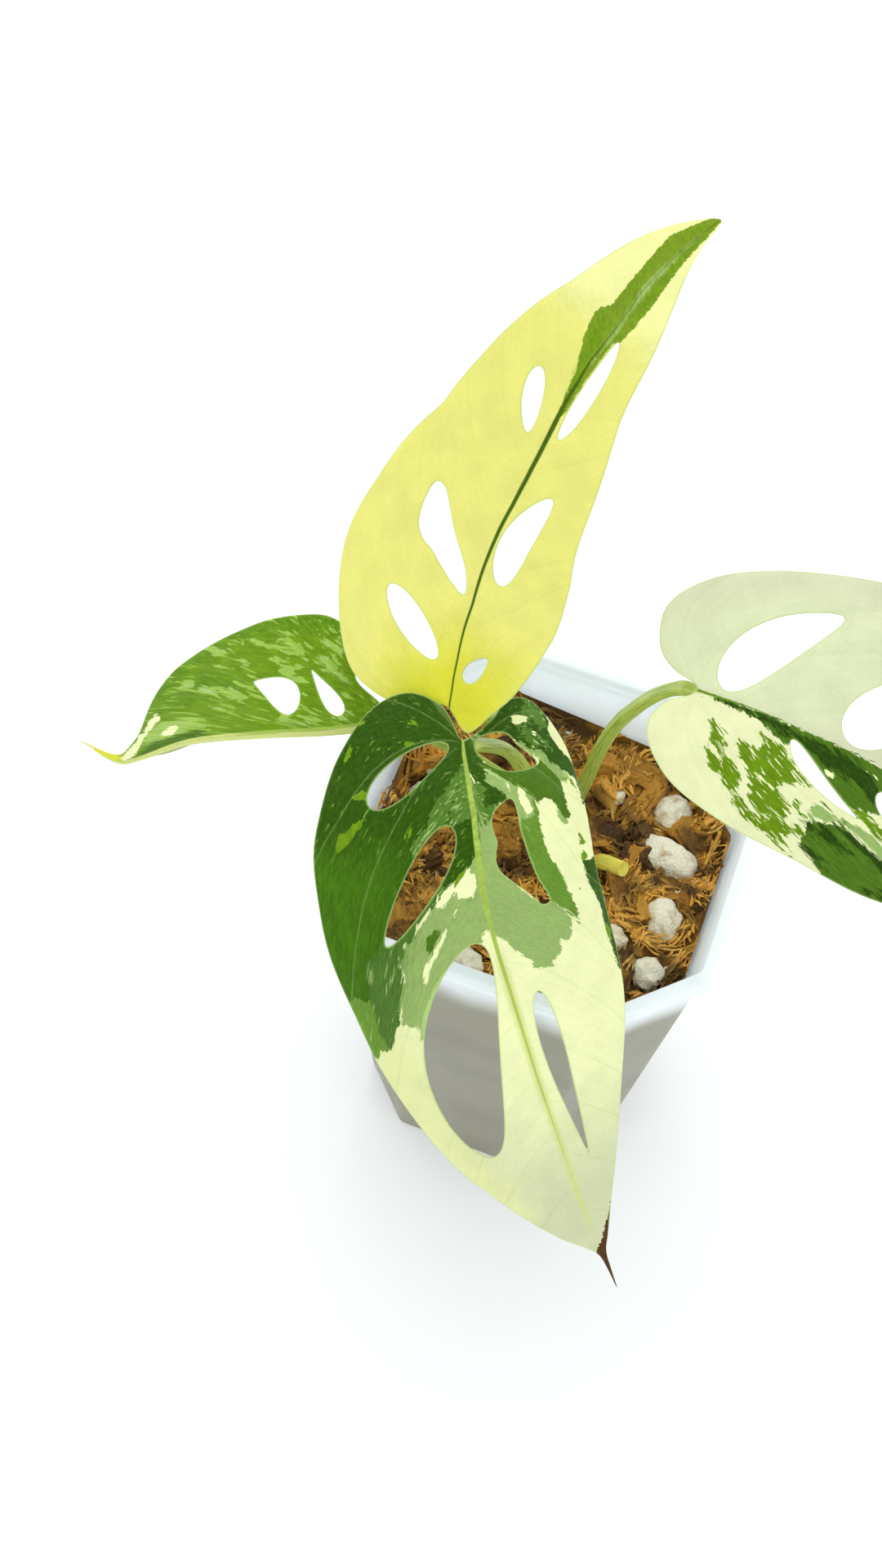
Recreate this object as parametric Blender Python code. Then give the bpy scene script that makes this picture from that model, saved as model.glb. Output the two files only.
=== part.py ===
"""Variegated monstera adansonii with four leaves, rooted in a square pot of milky clear plastic.

The origin is the middle of the pot's underside, +Z is up and -Y is the side that the
hanging leaf points to. Driving dimensions are in millimetres; meshes are in metres.
"""
import math
from dataclasses import dataclass

import bmesh
import bpy
import numpy as np
from mathutils import Euler, Matrix, Vector, noise
from mathutils.geometry import delaunay_2d_cdt

MM = 0.001
GAP = 0.3

# Pot
RIM_SIDE = 90.0
POT_HEIGHT = 120.0
BASE_TO_RIM = 0.76
CUT_CORNER = 0.21
CORNER_RADIUS = 3.0
CORNER_STEPS = 3
WALL = 1.2
FLOOR = 1.6
LIP_HEIGHT = 5.0
LIP_REACH = 1.4
LIP_EDGE = 0.6
DRAIN_HOLES = 8
DRAIN_RADIUS = 3.0
DRAIN_CIRCLE = 22.0

# Substrate
SOIL_LEVEL = 95.0
SOIL_RELIEF = 1.6
BUMP_SIZES = (9.0, 4.0)
SOIL_SPACING = 6.0
CHIP_COUNT = 46
CHIP_SEED = 7
CHIP_LENGTH = (8.0, 15.0)
CHIP_WIDTH = (4.5, 7.5)
CHIP_THICKNESS = (3.0, 5.0)
CHIP_TILT = (0.3, 0.4)
CHIP_NARROWING = (0.8, 0.75)
CHIP_SHOWING = 0.35
CHIP_WALL_ROOM = 9.0
STEM_ROOM = 9.0
STUB_ROOM = 8.0
PERLITE_ROOM = 5.0

# Perlite lumps: (name, x, y, length, width, height, turn in degrees)
PERLITE = (
    ("Perlite_1", 27.5, 15.0, 16.0, 10.0, 8.0, -18.0),
    ("Perlite_2", 24.5, 28.0, 11.0, 9.0, 8.0, 30.0),
    ("Perlite_3", 31.0, -2.0, 8.5, 11.5, 8.0, 10.0),
    ("Perlite_4", 22.0, -10.5, 7.5, 6.0, 6.0, -30.0),
    ("Perlite_5", 31.5, -16.5, 8.0, 8.5, 7.0, 35.0),
    ("Perlite_6", -8.0, -30.0, 9.0, 8.0, 7.0, 0.0),
    ("Perlite_7", -33.0, 8.0, 8.0, 10.0, 7.0, 15.0),
)
PERLITE_LIFT = 1.5
PERLITE_ROUGHNESS = 0.22

# Stem and the old petiole's stub: centre lines from low to high
STEM_PATH = ((-3.0, 20.0, 62.0), (-3.0, 19.0, 92.0), (-3.5, 17.5, 106.0), (-4.0, 16.5, 116.0))
STEM_RADIUS = (3.6, 3.6, 3.3, 2.4)
STEM_NODES = (0.42, 0.68, 0.9)
NODE_SWELL = 0.35
NODE_SPREAD = 0.035
STEM_SIDES = 12
STUB_PATH = ((10.5, 9.0, 90.0), (13.0, 7.0, 98.0), (18.5, 4.5, 102.0))
STUB_RADIUS = (2.0, 2.0, 1.8)

# Leaves
BLADE = 0.8
BLADE_SPACING = 6.0
MARGIN_STEPS = 3
WINDOW_POINTS = 14
TUBE_SIDES = 8
MIDRIB_RADIUS = (1.25, 0.45)
MIDRIB_REACH = 0.86
MIDRIB_SINK = 0.75
FOLD_SCALE = 25.0


@dataclass(frozen=True)
class LeafPlan:
    """One leaf: its place in space and its form when laid flat, in millimetres.

    Flat form: s runs along the midrib from the petiole, t across it. A window is
    (s, t, length, width, turn in degrees, taper, bow).
    """

    name: str
    colour: tuple
    petiole: tuple
    petiole_radius: tuple
    midrib: tuple
    face_at_base: tuple
    face_at_tip: tuple
    fold: tuple
    curl: tuple
    margin: tuple
    windows: tuple


UPRIGHT = LeafPlan(
    name="Leaf_Upright",
    colour=(0.80, 0.78, 0.15),
    petiole=((-4.4, 15.6, 117.4), (-8, 10, 131), (-15, -1, 150), (-20, -10, 163), (-21.8, -14.8, 169.4)),
    petiole_radius=(2.0, 1.4),
    midrib=((-21.8, -14.8, 169.4), (-24.7, -1, 179.5), (-24, 9, 193), (-20, 16.5, 206.5), (-16, 24.5, 219.5),
            (-10, 32, 230), (-4, 42, 240), (1, 49, 246)),
    face_at_base=(-0.17, -0.76, 0.6),
    face_at_tip=(0.1, -0.7, 0.7),
    fold=(-4, 12),
    curl=(-11, -11),
    margin=((-0.5, -1.5), (-1, -8), (-0.5, -16), (4.5, -24), (13, -29), (23, -31), (35, -27), (49, -22),
            (56, -20.5), (68, -17), (79, -14), (91, -10), (100, -5), (106, 0), (101, 1.2), (94, 3.2),
            (81, 7.5), (65, 12), (49, 15.5), (35, 19), (22, 20), (11, 18.5), (4, 15), (-1, 10),
            (-5.3, 5.2), (-2, 1)),
    windows=((60, -6, 14, 4, -18, -0.4, 0), (72, 2.8, 27, 3.2, -6, 0.4, 0.8),
             (29, -8, 23, 6.6, -43, -0.6, 0), (37, 6.2, 22, 6.3, 5, 0.2, -0.8),
             (14, -11, 17, 5.3, -54, 0, 0.6), (7, 4.8, 6.5, 3.8, 45, 0.3, 0)),
)

LEFT = LeafPlan(
    name="Leaf_Left",
    colour=(0.20, 0.33, 0.06),
    petiole=((-8.6, 16.8, 101), (-15, 11, 112), (-25, 0, 134), (-33, -8, 146), (-37, -11, 150)),
    petiole_radius=(1.9, 1.3),
    midrib=((-37, -11, 150), (-48, -16, 148), (-63, -18, 141), (-81, -17, 127), (-95, -16.5, 112),
            (-102, -16, 106), (-113, -13, 104)),
    face_at_base=(-0.1, -0.45, 0.9),
    face_at_tip=(-0.2, -0.5, 0.8),
    fold=(-104, 10),
    curl=(-2, -12),
    margin=((-1, 1), (0, 4), (4.5, 10), (3, 16), (4.5, 21), (11, 24.5), (23, 25), (34, 23.5), (45, 20.5),
            (55, 16.5), (64, 11), (71, 5.5), (78, 2.5), (86, 1), (94, 0), (86, -1), (78, -2.5), (68, -8),
            (56, -14), (44, -19), (32, -22), (20, -23), (8, -21), (-1, -17), (-5, -11), (-5, -5), (-1, -1)),
    windows=((24.2, 8.6, 13, 6, 27, 0.7, 0.8), (11.8, 7.8, 12, 3.3, 56, 0.7, 0), (14, -8, 12, 3.6, -50, 0.3, 0),
             (30, -7, 15, 4.2, -28, 0.3, 0), (48, -5, 16, 3, -8, 0.3, 0)),
)

FRONT = LeafPlan(
    name="Leaf_Front",
    colour=(0.16, 0.30, 0.06),
    petiole=((-4.3, 11.8, 108.5), (-6.2, 3.5, 125), (-10, -7, 149), (-14, -17.5, 163.5), (-16, -22, 168)),
    petiole_radius=(1.9, 1.4),
    midrib=((-16, -22, 168), (-9, -34, 166), (0, -48, 154), (10, -57, 138), (19, -64, 123), (29, -71, 107),
            (36, -76, 97), (44, -81, 87)),
    face_at_base=(0.13, -0.33, 0.93),
    face_at_tip=(0.25, -0.8, 0.5),
    fold=(-12, 10),
    curl=(-34, -30),
    margin=((-1.5, 0.6), (-8.5, 3), (-12.5, 9), (-11, 16), (-5, 22.5), (4, 28.5), (18, 33), (33, 33.5),
            (48, 32), (62, 30.5), (76, 27), (90, 21.5), (103, 13), (112, 7), (119, 2.5), (127, 0.3),
            (120, -0.8), (113, -3), (103, -8), (90, -14), (78, -20), (66, -25.5), (53, -27.5), (38, -28),
            (20, -27), (3, -26.5), (-6, -23.5), (-11.5, -17), (-10.5, -11), (-6, -7), (-1.8, -1.8)),
    windows=((5, 12, 20, 7.2, 57, -0.2, 0.5), (27, 13, 25, 6.2, 39, 0.35, -0.8),
             (2, -9, 14, 7.4, -75, 0.5, 0.5), (25, -8.4, 26, 6.8, -17, 0.2, 2.4),
             (63, 11.2, 49, 15, 12, 0, 4), (74, -5, 40, 4, 0, 0.7, 0)),
)

RIGHT = LeafPlan(
    name="Leaf_Right",
    colour=(0.78, 0.80, 0.52),
    petiole=((2.2, 17.8, 103.5), (3.6, 16.8, 114), (5.4, 14.5, 130), (8.1, 11.3, 145), (11.8, 7.8, 158),
             (15.9, 4.4, 169), (20.2, 1.2, 177), (23.5, -1, 180)),
    petiole_radius=(1.9, 1.3),
    midrib=((23.5, -1, 180), (36, -2, 181), (49, -2, 179), (62, 0, 174), (83, 5, 163), (104, 11, 149),
            (126, 18, 131)),
    face_at_base=(0.0, -0.45, 0.9),
    face_at_tip=(0.35, -0.4, 0.8),
    fold=(14, 10),
    curl=(-18, -24),
    margin=((-1, -1), (-6, -2.5), (-10, -6), (-11.5, -13), (-8, -19), (-1, -24), (11, -28.5), (24, -32.5),
            (38, -34), (52, -32), (66, -28), (80, -22), (93, -15), (104, -8), (112, -3), (120, 0),
            (108, 4.5), (97, 10), (85, 15.5), (72, 20), (58, 23), (44, 24.5), (28, 23.5), (14, 22.5),
            (3, 19.5), (-4, 14.5), (-7, 9), (-5, 4), (-1, 1)),
    windows=((11, -13, 26, 8.6, -52, 0.4, -1.4), (38, -12, 27, 11, -44, 0.4, 0), (66, -9, 22, 5, -24, 0.3, 0),
             (28, 7.6, 19, 2.8, 27, 0.6, 1.2), (49, 9.5, 21, 5, 22, 0.4, 0), (74, 7, 20, 3.5, 14, 0.4, 0)),
)

LEAVES = (UPRIGHT, LEFT, FRONT, RIGHT)


def clear_scene():
    """Removes what the start-up scene holds."""
    for item in list(bpy.data.objects):
        bpy.data.objects.remove(item)


def material(name, colour, roughness):
    """Principled material with one plain colour."""
    made = bpy.data.materials.new(name)
    made.use_nodes = True
    shader = made.node_tree.nodes["Principled BSDF"]
    shader.inputs["Base Color"].default_value = (*colour, 1.0)
    shader.inputs["Roughness"].default_value = roughness
    shader.inputs["Metallic"].default_value = 0.0
    return made


def new_object(name, mesh, finish=None, smooth_angle=None):
    """Links an object for the mesh, with its material and shading."""
    made = bpy.data.objects.new(name, mesh)
    bpy.context.scene.collection.objects.link(made)
    if finish is not None:
        mesh.materials.clear()
        mesh.materials.append(finish)
    if smooth_angle is not None:
        mesh.shade_smooth()
        mesh.set_sharp_from_angle(angle=math.radians(smooth_angle))
    return made


def combine(target, others, operation):
    """Applies one Boolean of the other objects to the target and removes them."""
    group = bpy.data.collections.new("Boolean operands")
    bpy.context.scene.collection.children.link(group)
    for item in others:
        group.objects.link(item)
    boolean = target.modifiers.new("Boolean", "BOOLEAN")
    boolean.operation = operation
    boolean.operand_type = "COLLECTION"
    boolean.collection = group
    boolean.solver = "EXACT"
    bpy.context.view_layer.update()
    result = bpy.data.meshes.new_from_object(target.evaluated_get(bpy.context.evaluated_depsgraph_get()))
    target.modifiers.clear()
    target.data = result
    for item in others:
        bpy.data.objects.remove(item)
    bpy.data.collections.remove(group)
    return target


def catmull_rom(points, steps, closed=False):
    """Smooth curve through the points, as Catmull-Rom pieces of equal parameter steps."""
    given = np.asarray(points, float)
    if closed:
        ends = np.vstack([given[-1], given, given[:2]])
    else:
        ends = np.vstack([2 * given[0] - given[1], given, 2 * given[-1] - given[-2]])
    k = np.linspace(0, 1, steps, endpoint=False)[:, None]
    a, b, c, d = (ends[i:len(ends) - 3 + i, None] for i in range(4))
    curve = 0.5 * (2 * b + (c - a) * k + (2 * a - 5 * b + 4 * c - d) * k**2 + (3 * b - a - 3 * c + d) * k**3)
    curve = curve.reshape(-1, given.shape[1])
    return curve if closed else np.vstack([curve, given[-1]])


def unit(vectors):
    """Vectors scaled to length one."""
    return vectors / np.linalg.norm(vectors, axis=-1, keepdims=True)


def inside(points, loop):
    """True for each point that the closed loop surrounds, by counting crossed edges."""
    x, y = points[:, :1], points[:, 1:]
    x0, y0 = loop[:, 0], loop[:, 1]
    x1, y1 = np.roll(x0, -1), np.roll(y0, -1)
    rise = np.where(y1 == y0, 1e-12, y1 - y0)
    crossed = ((y0 > y) != (y1 > y)) & (x < x0 + (y - y0) / rise * (x1 - x0))
    return crossed.sum(axis=1) % 2 == 1


def clearance(points, loop):
    """Distance from each point to the loop's nearest edge."""
    start, step = loop, np.roll(loop, -1, axis=0) - loop
    reach = points[:, None] - start
    share = np.clip((reach * step).sum(-1) / (step**2).sum(-1), 0, 1)
    return np.linalg.norm(reach - share[..., None] * step, axis=-1).min(axis=1)


def fill_flat(loops, spacing, rib=None):
    """Triangles of the flat region inside the first loop and outside the others.

    Inner points stand on a staggered grid, and rib is an open line that edges follow.
    """
    outer = loops[0]
    low, high = outer.min(axis=0), outer.max(axis=0)
    rows = np.arange(low[0], high[0], spacing)
    columns = np.arange(low[1], high[1], spacing)
    grid = np.array([(s, t + spacing / 2 * (i % 2)) for i, s in enumerate(rows) for t in columns])
    keep = inside(grid, outer)
    for loop in loops:
        keep &= clearance(grid, loop) > spacing * 0.5
    for loop in loops[1:]:
        keep &= ~inside(grid, loop)
    fixed = list(loops)
    edges, count = [], 0
    for loop in loops:
        edges += [(count + i, count + (i + 1) % len(loop)) for i in range(len(loop))]
        count += len(loop)
    if rib is not None:
        keep &= np.abs(grid[:, 1]) > spacing * 0.4
        edges += [(count + i, count + i + 1) for i in range(len(rib) - 1)]
        fixed.append(rib)
    points = np.vstack(fixed + [grid[keep]])
    flat, _, faces, *_ = delaunay_2d_cdt([Vector(p) for p in points], edges, [], 0, 1e-6)
    flat = np.array(flat)
    faces = np.array([face for face in faces if len(face) == 3])
    middle = flat[faces].mean(axis=1)
    good = inside(middle, outer)
    for loop in loops[1:]:
        good &= ~inside(middle, loop)
    return flat, faces[good]


def slab_mesh(name, top, bottom, faces):
    """Closed mesh of two like sheets joined by a strip along every open edge."""
    count = len(top)
    pairs = np.vstack([faces[:, [0, 1]], faces[:, [1, 2]], faces[:, [2, 0]]])
    known = {(a, b) for a, b in pairs.tolist()}
    rim = [(a, b) for a, b in pairs.tolist() if (b, a) not in known]
    sheets = faces.tolist() + [(a + count, c + count, b + count) for a, b, c in faces.tolist()]
    sheets += [(b, a, a + count, b + count) for a, b in rim]
    mesh = bpy.data.meshes.new(name)
    mesh.from_pydata((np.vstack([top, bottom]) * MM).tolist(), [], sheets)
    mesh.validate()
    return outward(mesh)


def outward(mesh):
    """Turns the faces of a closed mesh to point out and drops loose points."""
    work = bmesh.new()
    work.from_mesh(mesh)
    loose = [v for v in work.verts if not v.link_faces]
    bmesh.ops.delete(work, geom=loose, context="VERTS")
    bmesh.ops.recalc_face_normals(work, faces=work.faces)
    work.to_mesh(mesh)
    work.free()
    return mesh


def loft(name, rings):
    """Closed mesh through rings with the same number of points, capped at both ends."""
    work = bmesh.new()
    placed = [[work.verts.new(Vector(p) * MM) for p in ring] for ring in rings]
    for low, high in zip(placed, placed[1:]):
        for i in range(len(low)):
            j = (i + 1) % len(low)
            work.faces.new((low[i], low[j], high[j], high[i]))
    work.faces.new(placed[0][::-1])
    work.faces.new(placed[-1])
    bmesh.ops.recalc_face_normals(work, faces=work.faces)
    mesh = bpy.data.meshes.new(name)
    work.to_mesh(mesh)
    work.free()
    return mesh


def cut_square(half, z, radius=CORNER_RADIUS):
    """Ring of a square with its corners cut off, each of the eight corners rounded by an arc."""
    leg = CUT_CORNER * 2 * half
    corners = []
    for quarter in range(4):
        turn = Matrix.Rotation(quarter * math.pi / 2, 2)
        corners += [turn @ Vector((half - leg, -half)), turn @ Vector((half, -half + leg))]
    ring = []
    for i, corner in enumerate(corners):
        before = (corners[i - 1] - corner).normalized()
        after = (corners[(i + 1) % len(corners)] - corner).normalized()
        half_angle = before.angle(after) / 2
        centre = corner + (before + after).normalized() * radius / math.sin(half_angle)
        start = corner + before * radius / math.tan(half_angle) - centre
        for k in range(CORNER_STEPS + 1):
            turn = Matrix.Rotation((math.pi - 2 * half_angle) * k / CORNER_STEPS, 2)
            ring.append((*(centre + turn @ start), z))
    return ring


def wall_half(z):
    """Half the outer width of the tapering wall at height z, under the lip."""
    rim_wall = RIM_SIDE / 2 - LIP_REACH
    return rim_wall * (BASE_TO_RIM + (1 - BASE_TO_RIM) * z / POT_HEIGHT)


def make_pot():
    """The pot: one thin wall with a lip band, and drain holes round the middle of its floor."""
    lip = RIM_SIDE / 2
    lip_low = POT_HEIGHT - LIP_HEIGHT
    rings = [
        cut_square(wall_half(0), 0),
        cut_square(wall_half(lip_low), lip_low),
        cut_square(lip - LIP_EDGE / 2, lip_low),
        cut_square(lip, lip_low + LIP_EDGE),
        cut_square(lip, POT_HEIGHT - LIP_EDGE),
        cut_square(lip - LIP_EDGE, POT_HEIGHT),
        cut_square(wall_half(POT_HEIGHT) - WALL + LIP_EDGE / 2, POT_HEIGHT),
        cut_square(wall_half(POT_HEIGHT) - WALL, POT_HEIGHT - LIP_EDGE),
        cut_square(wall_half(FLOOR) - WALL, FLOOR),
    ]
    plastic = material("Milky clear plastic", (0.72, 0.78, 0.82), 0.25)
    pot = new_object("Pot", loft("Pot", rings), plastic, smooth_angle=25)
    cutters = []
    for i in range(DRAIN_HOLES):
        angle = 2 * math.pi * i / DRAIN_HOLES
        place = (DRAIN_CIRCLE * math.cos(angle), DRAIN_CIRCLE * math.sin(angle))
        rings = [
            [(place[0] + DRAIN_RADIUS * math.cos(a), place[1] + DRAIN_RADIUS * math.sin(a), z)
             for a in np.linspace(0, 2 * math.pi, 12, endpoint=False)]
            for z in (-FLOOR, 2 * FLOOR)
        ]
        cutters.append(new_object("Drain cutter", loft("Drain cutter", rings)))
    return combine(pot, cutters, "DIFFERENCE")


def soil_height(x, y):
    """Height of the substrate's top: the level with low rounded bumps from smooth noise."""
    wide, fine = BUMP_SIZES
    bump = noise.noise(Vector((x / wide, y / wide, 0.3)))
    bump += 0.5 * noise.noise(Vector((x / fine, y / fine, 4.1)))
    return SOIL_LEVEL + SOIL_RELIEF * bump


def soil_body(finish):
    """The filling: the pot's inner form with a bumpy top."""
    side = wall_half(SOIL_LEVEL) - WALL - GAP
    low = FLOOR + GAP
    outline = np.array(cut_square(side, 0, CORNER_RADIUS - GAP))[:, :2]
    flat, faces = fill_flat([outline], SOIL_SPACING)
    share = (wall_half(low) - WALL - GAP) / side
    rim = clearance(flat, outline) < 0.01
    height = np.where(rim, SOIL_LEVEL, [soil_height(x, y) for x, y in flat])
    top = np.column_stack([flat, height])
    bottom = np.column_stack([flat * share, np.full(len(flat), low)])
    return new_object("Substrate", slab_mesh("Substrate", top, bottom, faces), finish)


def coco_chip(half, angles, place):
    """One block of coco husk, narrower towards one side and the top, turned and put in its place."""
    work = bmesh.new()
    bmesh.ops.create_cube(work, size=2.0)
    for vert in work.verts:
        vert.co.x *= half[0] * (CHIP_NARROWING[0] if vert.co.y > 0 else 1.0)
        vert.co.y *= half[1] * (CHIP_NARROWING[1] if vert.co.z > 0 else 1.0)
        vert.co.z *= half[2]
    turn = Euler(angles).to_matrix().to_4x4()
    move = Matrix.Scale(MM, 4) @ Matrix.Translation(Vector(place)) @ turn
    bmesh.ops.transform(work, matrix=move, verts=work.verts)
    mesh = bpy.data.meshes.new("Chip")
    work.to_mesh(mesh)
    work.free()
    return new_object("Chip", mesh)


def coco_chips(taken):
    """Chips strewn by a seeded rule over the free places of the substrate's top."""
    draw = np.random.default_rng(CHIP_SEED)
    reach = wall_half(SOIL_LEVEL) - WALL - CHIP_WALL_ROOM
    roll, pitch = CHIP_TILT
    chips = []
    while len(chips) < CHIP_COUNT:
        x, y = draw.uniform(-reach, reach, 2)
        half = [draw.uniform(*span) / 2 for span in (CHIP_LENGTH, CHIP_WIDTH, CHIP_THICKNESS)]
        angles = draw.uniform((-roll, -pitch, 0.0), (roll, pitch, math.pi))
        cornered = abs(x) + abs(y) > 1.45 * reach
        blocked = any(math.hypot(x - px, y - py) < room for px, py, room in taken)
        if cornered or blocked:
            continue
        chips.append(coco_chip(half, angles, (x, y, soil_height(x, y) + half[2] * CHIP_SHOWING)))
    return chips


def lump(name, plan, grow=0.0):
    """One rounded, pitted lump of perlite, or its slightly larger hollow when grow is given."""
    _, x, y, length, width, height, turn = plan
    work = bmesh.new()
    bmesh.ops.create_icosphere(work, subdivisions=2, radius=1.0)
    for vert in work.verts:
        rough = 1.0 + PERLITE_ROUGHNESS * noise.noise(vert.co * 1.6 + Vector((x, y, 0)))
        shape = Vector((vert.co.x * length / 2, vert.co.y * width / 2, vert.co.z * height / 2)) * rough
        vert.co = shape + vert.co.normalized() * grow
    spin = Matrix.Rotation(math.radians(turn), 4, "Z")
    move = Matrix.Scale(MM, 4) @ Matrix.Translation(Vector((x, y, SOIL_LEVEL + PERLITE_LIFT))) @ spin
    bmesh.ops.transform(work, matrix=move, verts=work.verts)
    mesh = bpy.data.meshes.new(name)
    work.to_mesh(mesh)
    work.free()
    return mesh


def sweep(name, path, radii, sides=TUBE_SIDES, grow=0.0):
    """Round tube along a path, its radius following radii; the first ring's frame is carried along."""
    path, radii = np.asarray(path, float), np.asarray(radii, float) + grow
    tangent = unit(np.gradient(path, axis=0))
    across = np.cross(tangent[0], (0.3, 0.2, 1.0) if abs(tangent[0][2]) < 0.9 else (1.0, 0.2, 0.0))
    rings = []
    for centre, direction, radius in zip(path, tangent, radii):
        across = unit(across - (across @ direction) * direction)
        other = np.cross(direction, across)
        angle = np.linspace(0, 2 * math.pi, sides, endpoint=False)[:, None]
        rings.append(centre + radius * (np.cos(angle) * across + np.sin(angle) * other))
    return loft(name, rings)


def stem_form(grow=0.0):
    """The stem's centre line and radii, swollen at each node."""
    path = catmull_rom(STEM_PATH, 7)
    share = np.linspace(0, 1, len(path))
    radii = np.interp(share, np.linspace(0, 1, len(STEM_RADIUS)), STEM_RADIUS)
    for node in STEM_NODES:
        radii = radii + NODE_SWELL * np.exp(-((share - node) / NODE_SPREAD) ** 2)
    return sweep("Stem", path, radii, sides=STEM_SIDES, grow=grow)


def stub_form(grow=0.0):
    """The cut stub of an old petiole."""
    path = catmull_rom(STUB_PATH, 4)
    radii = np.interp(np.linspace(0, 1, len(path)), np.linspace(0, 1, len(STUB_RADIUS)), STUB_RADIUS)
    return sweep("Old_Petiole_Stub", path, radii, grow=grow)


def make_substrate():
    """Coco chips and fibre in one body, with plain holes for the stem, the stub and the perlite."""
    finish = material("Coco chip mix", (0.26, 0.13, 0.04), 0.9)
    body = soil_body(finish)
    taken = [(*STEM_PATH[1][:2], STEM_ROOM), (*STUB_PATH[1][:2], STUB_ROOM)]
    taken += [(x, y, max(length, width) / 2 + PERLITE_ROOM) for _, x, y, length, width, _, _ in PERLITE]
    combine(body, coco_chips(taken), "UNION")
    hollows = [new_object("Stem hole", stem_form(GAP)), new_object("Stub hole", stub_form(GAP))]
    hollows += [new_object("Perlite hollow", lump("Perlite hollow", plan, GAP)) for plan in PERLITE]
    return combine(body, hollows, "DIFFERENCE")


def make_perlite():
    """The largest white lumps, each lying in its own hollow."""
    finish = material("Perlite", (0.83, 0.80, 0.74), 0.95)
    return [new_object(plan[0], lump(plan[0], plan), finish, smooth_angle=40) for plan in PERLITE]


def make_stem():
    """The short stem that the leaves grow from."""
    green = material("Stem skin", (0.30, 0.38, 0.12), 0.5)
    return new_object("Stem", stem_form(), green, smooth_angle=40)


def make_stub():
    """The stub that an old petiole left."""
    yellow = material("Old petiole", (0.62, 0.55, 0.10), 0.5)
    return new_object("Old_Petiole_Stub", stub_form(), yellow, smooth_angle=40)


class LeafSurface:
    """The blade's middle surface: a curved midrib with two folded, curling halves."""

    def __init__(self, plan):
        self.plan = plan
        self.curve = catmull_rom(plan.midrib, 24)
        self.along = np.concatenate([[0], np.cumsum(np.linalg.norm(np.diff(self.curve, axis=0), axis=1))])
        self.length = self.along[-1]

    def centre(self, s):
        """Point of the midrib at s, carried on straight past both ends."""
        start = unit(self.curve[1] - self.curve[0])
        end = unit(self.curve[-1] - self.curve[-2])
        on = np.stack([np.interp(s, self.along, self.curve[:, k]) for k in range(3)], axis=-1)
        return on + np.minimum(s, 0)[:, None] * start + np.maximum(s - self.length, 0)[:, None] * end

    def frame(self, s):
        """The blade's face direction and its direction across, at s."""
        held = np.clip(s, 0, self.length)
        step = 1.5
        ahead = self.centre(np.minimum(held + step, self.length))
        tangent = unit(ahead - self.centre(np.maximum(held - step, 0)))
        share = (held / self.length)[:, None]
        faces = unit(np.array([self.plan.face_at_base, self.plan.face_at_tip], float))
        face = faces[0] * (1 - share) + faces[1] * share
        face = unit(face - (face * tangent).sum(-1, keepdims=True) * tangent)
        return face, np.cross(tangent, face)

    def point(self, flat):
        """Place in space of flat points (s, t): across each half runs an arc that starts at the
        half's fold angle and turns by its curl for every FOLD_SCALE millimetres."""
        s, t = flat[:, 0], flat[:, 1]
        face, across = self.frame(s)
        second = (t > 0).astype(int)
        fold = np.radians(self.plan.fold)[second]
        turn = np.radians(self.plan.curl)[second] / FOLD_SCALE
        angle = fold + turn * np.abs(t)
        out = (np.sin(angle) - np.sin(fold)) / turn
        rise = (np.cos(fold) - np.cos(angle)) / turn
        return self.centre(s) + across * (np.sign(t) * out)[:, None] + face * rise[:, None]

    def normal(self, flat):
        """Unit normal of the middle surface, from small steps along and across."""
        step = 0.4
        along = self.point(flat + (step, 0)) - self.point(flat - (step, 0))
        across = self.point(flat + (0, step)) - self.point(flat - (0, step))
        return unit(np.cross(across, along))


def window_loop(plan, count=WINDOW_POINTS):
    """Closed egg-shaped loop: an ellipse narrowed towards one end by taper and bent by bow."""
    s, t, length, width, turn, taper, bow = plan
    angle = np.linspace(0, 2 * math.pi, count, endpoint=False)
    along = np.cos(angle) * length / 2
    across = np.sin(angle) * width / 2 * (1 - taper * np.cos(angle)) + bow * (0.5 - np.cos(angle) ** 2)
    c, d = math.cos(math.radians(turn)), math.sin(math.radians(turn))
    return np.column_stack([s + along * c - across * d, t + along * d + across * c])


def stalk_mesh(plan, surface):
    """The petiole, carried on under the blade as its tapering midrib."""
    drop = MIDRIB_SINK * MIDRIB_RADIUS[0]
    base_face, _ = surface.frame(np.zeros(1))
    stalk = catmull_rom(plan.petiole, 5)
    share = np.linspace(0, 1, len(stalk))
    stalk = stalk - base_face * drop * share[:, None] ** 4
    stalk_radius = np.interp(share, (0, 1), plan.petiole_radius)
    reach = np.linspace(0, surface.length * MIDRIB_REACH, 16)[1:]
    ridge_radius = np.interp(reach, (0, reach[-1]), MIDRIB_RADIUS)
    face, _ = surface.frame(reach)
    ridge = surface.centre(reach) - face * (ridge_radius * MIDRIB_SINK)[:, None]
    radii = np.concatenate([stalk_radius, ridge_radius])
    return sweep("Petiole and midrib", np.vstack([stalk, ridge]), radii)


def make_leaf(plan):
    """One leaf: a blade with cut windows, its midrib raised below, and its petiole."""
    surface = LeafSurface(plan)
    loops = [catmull_rom(plan.margin, MARGIN_STEPS, closed=True)] + [window_loop(w) for w in plan.windows]
    rib_s = np.arange(0.0, surface.length - 4.0, BLADE_SPACING)
    rib = np.column_stack([rib_s, np.zeros(len(rib_s))])
    flat, faces = fill_flat(loops, BLADE_SPACING, rib)
    middle, normal = surface.point(flat), surface.normal(flat)
    half = normal * BLADE / 2
    finish = material(plan.name, plan.colour, 0.35)
    blade = new_object(plan.name, slab_mesh(plan.name, middle - half, middle + half, faces), finish)
    stalk = new_object("Petiole and midrib", stalk_mesh(plan, surface))
    leaf = combine(blade, [stalk], "UNION")
    leaf.data.shade_smooth()
    leaf.data.set_sharp_from_angle(angle=math.radians(40))
    return leaf


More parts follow.
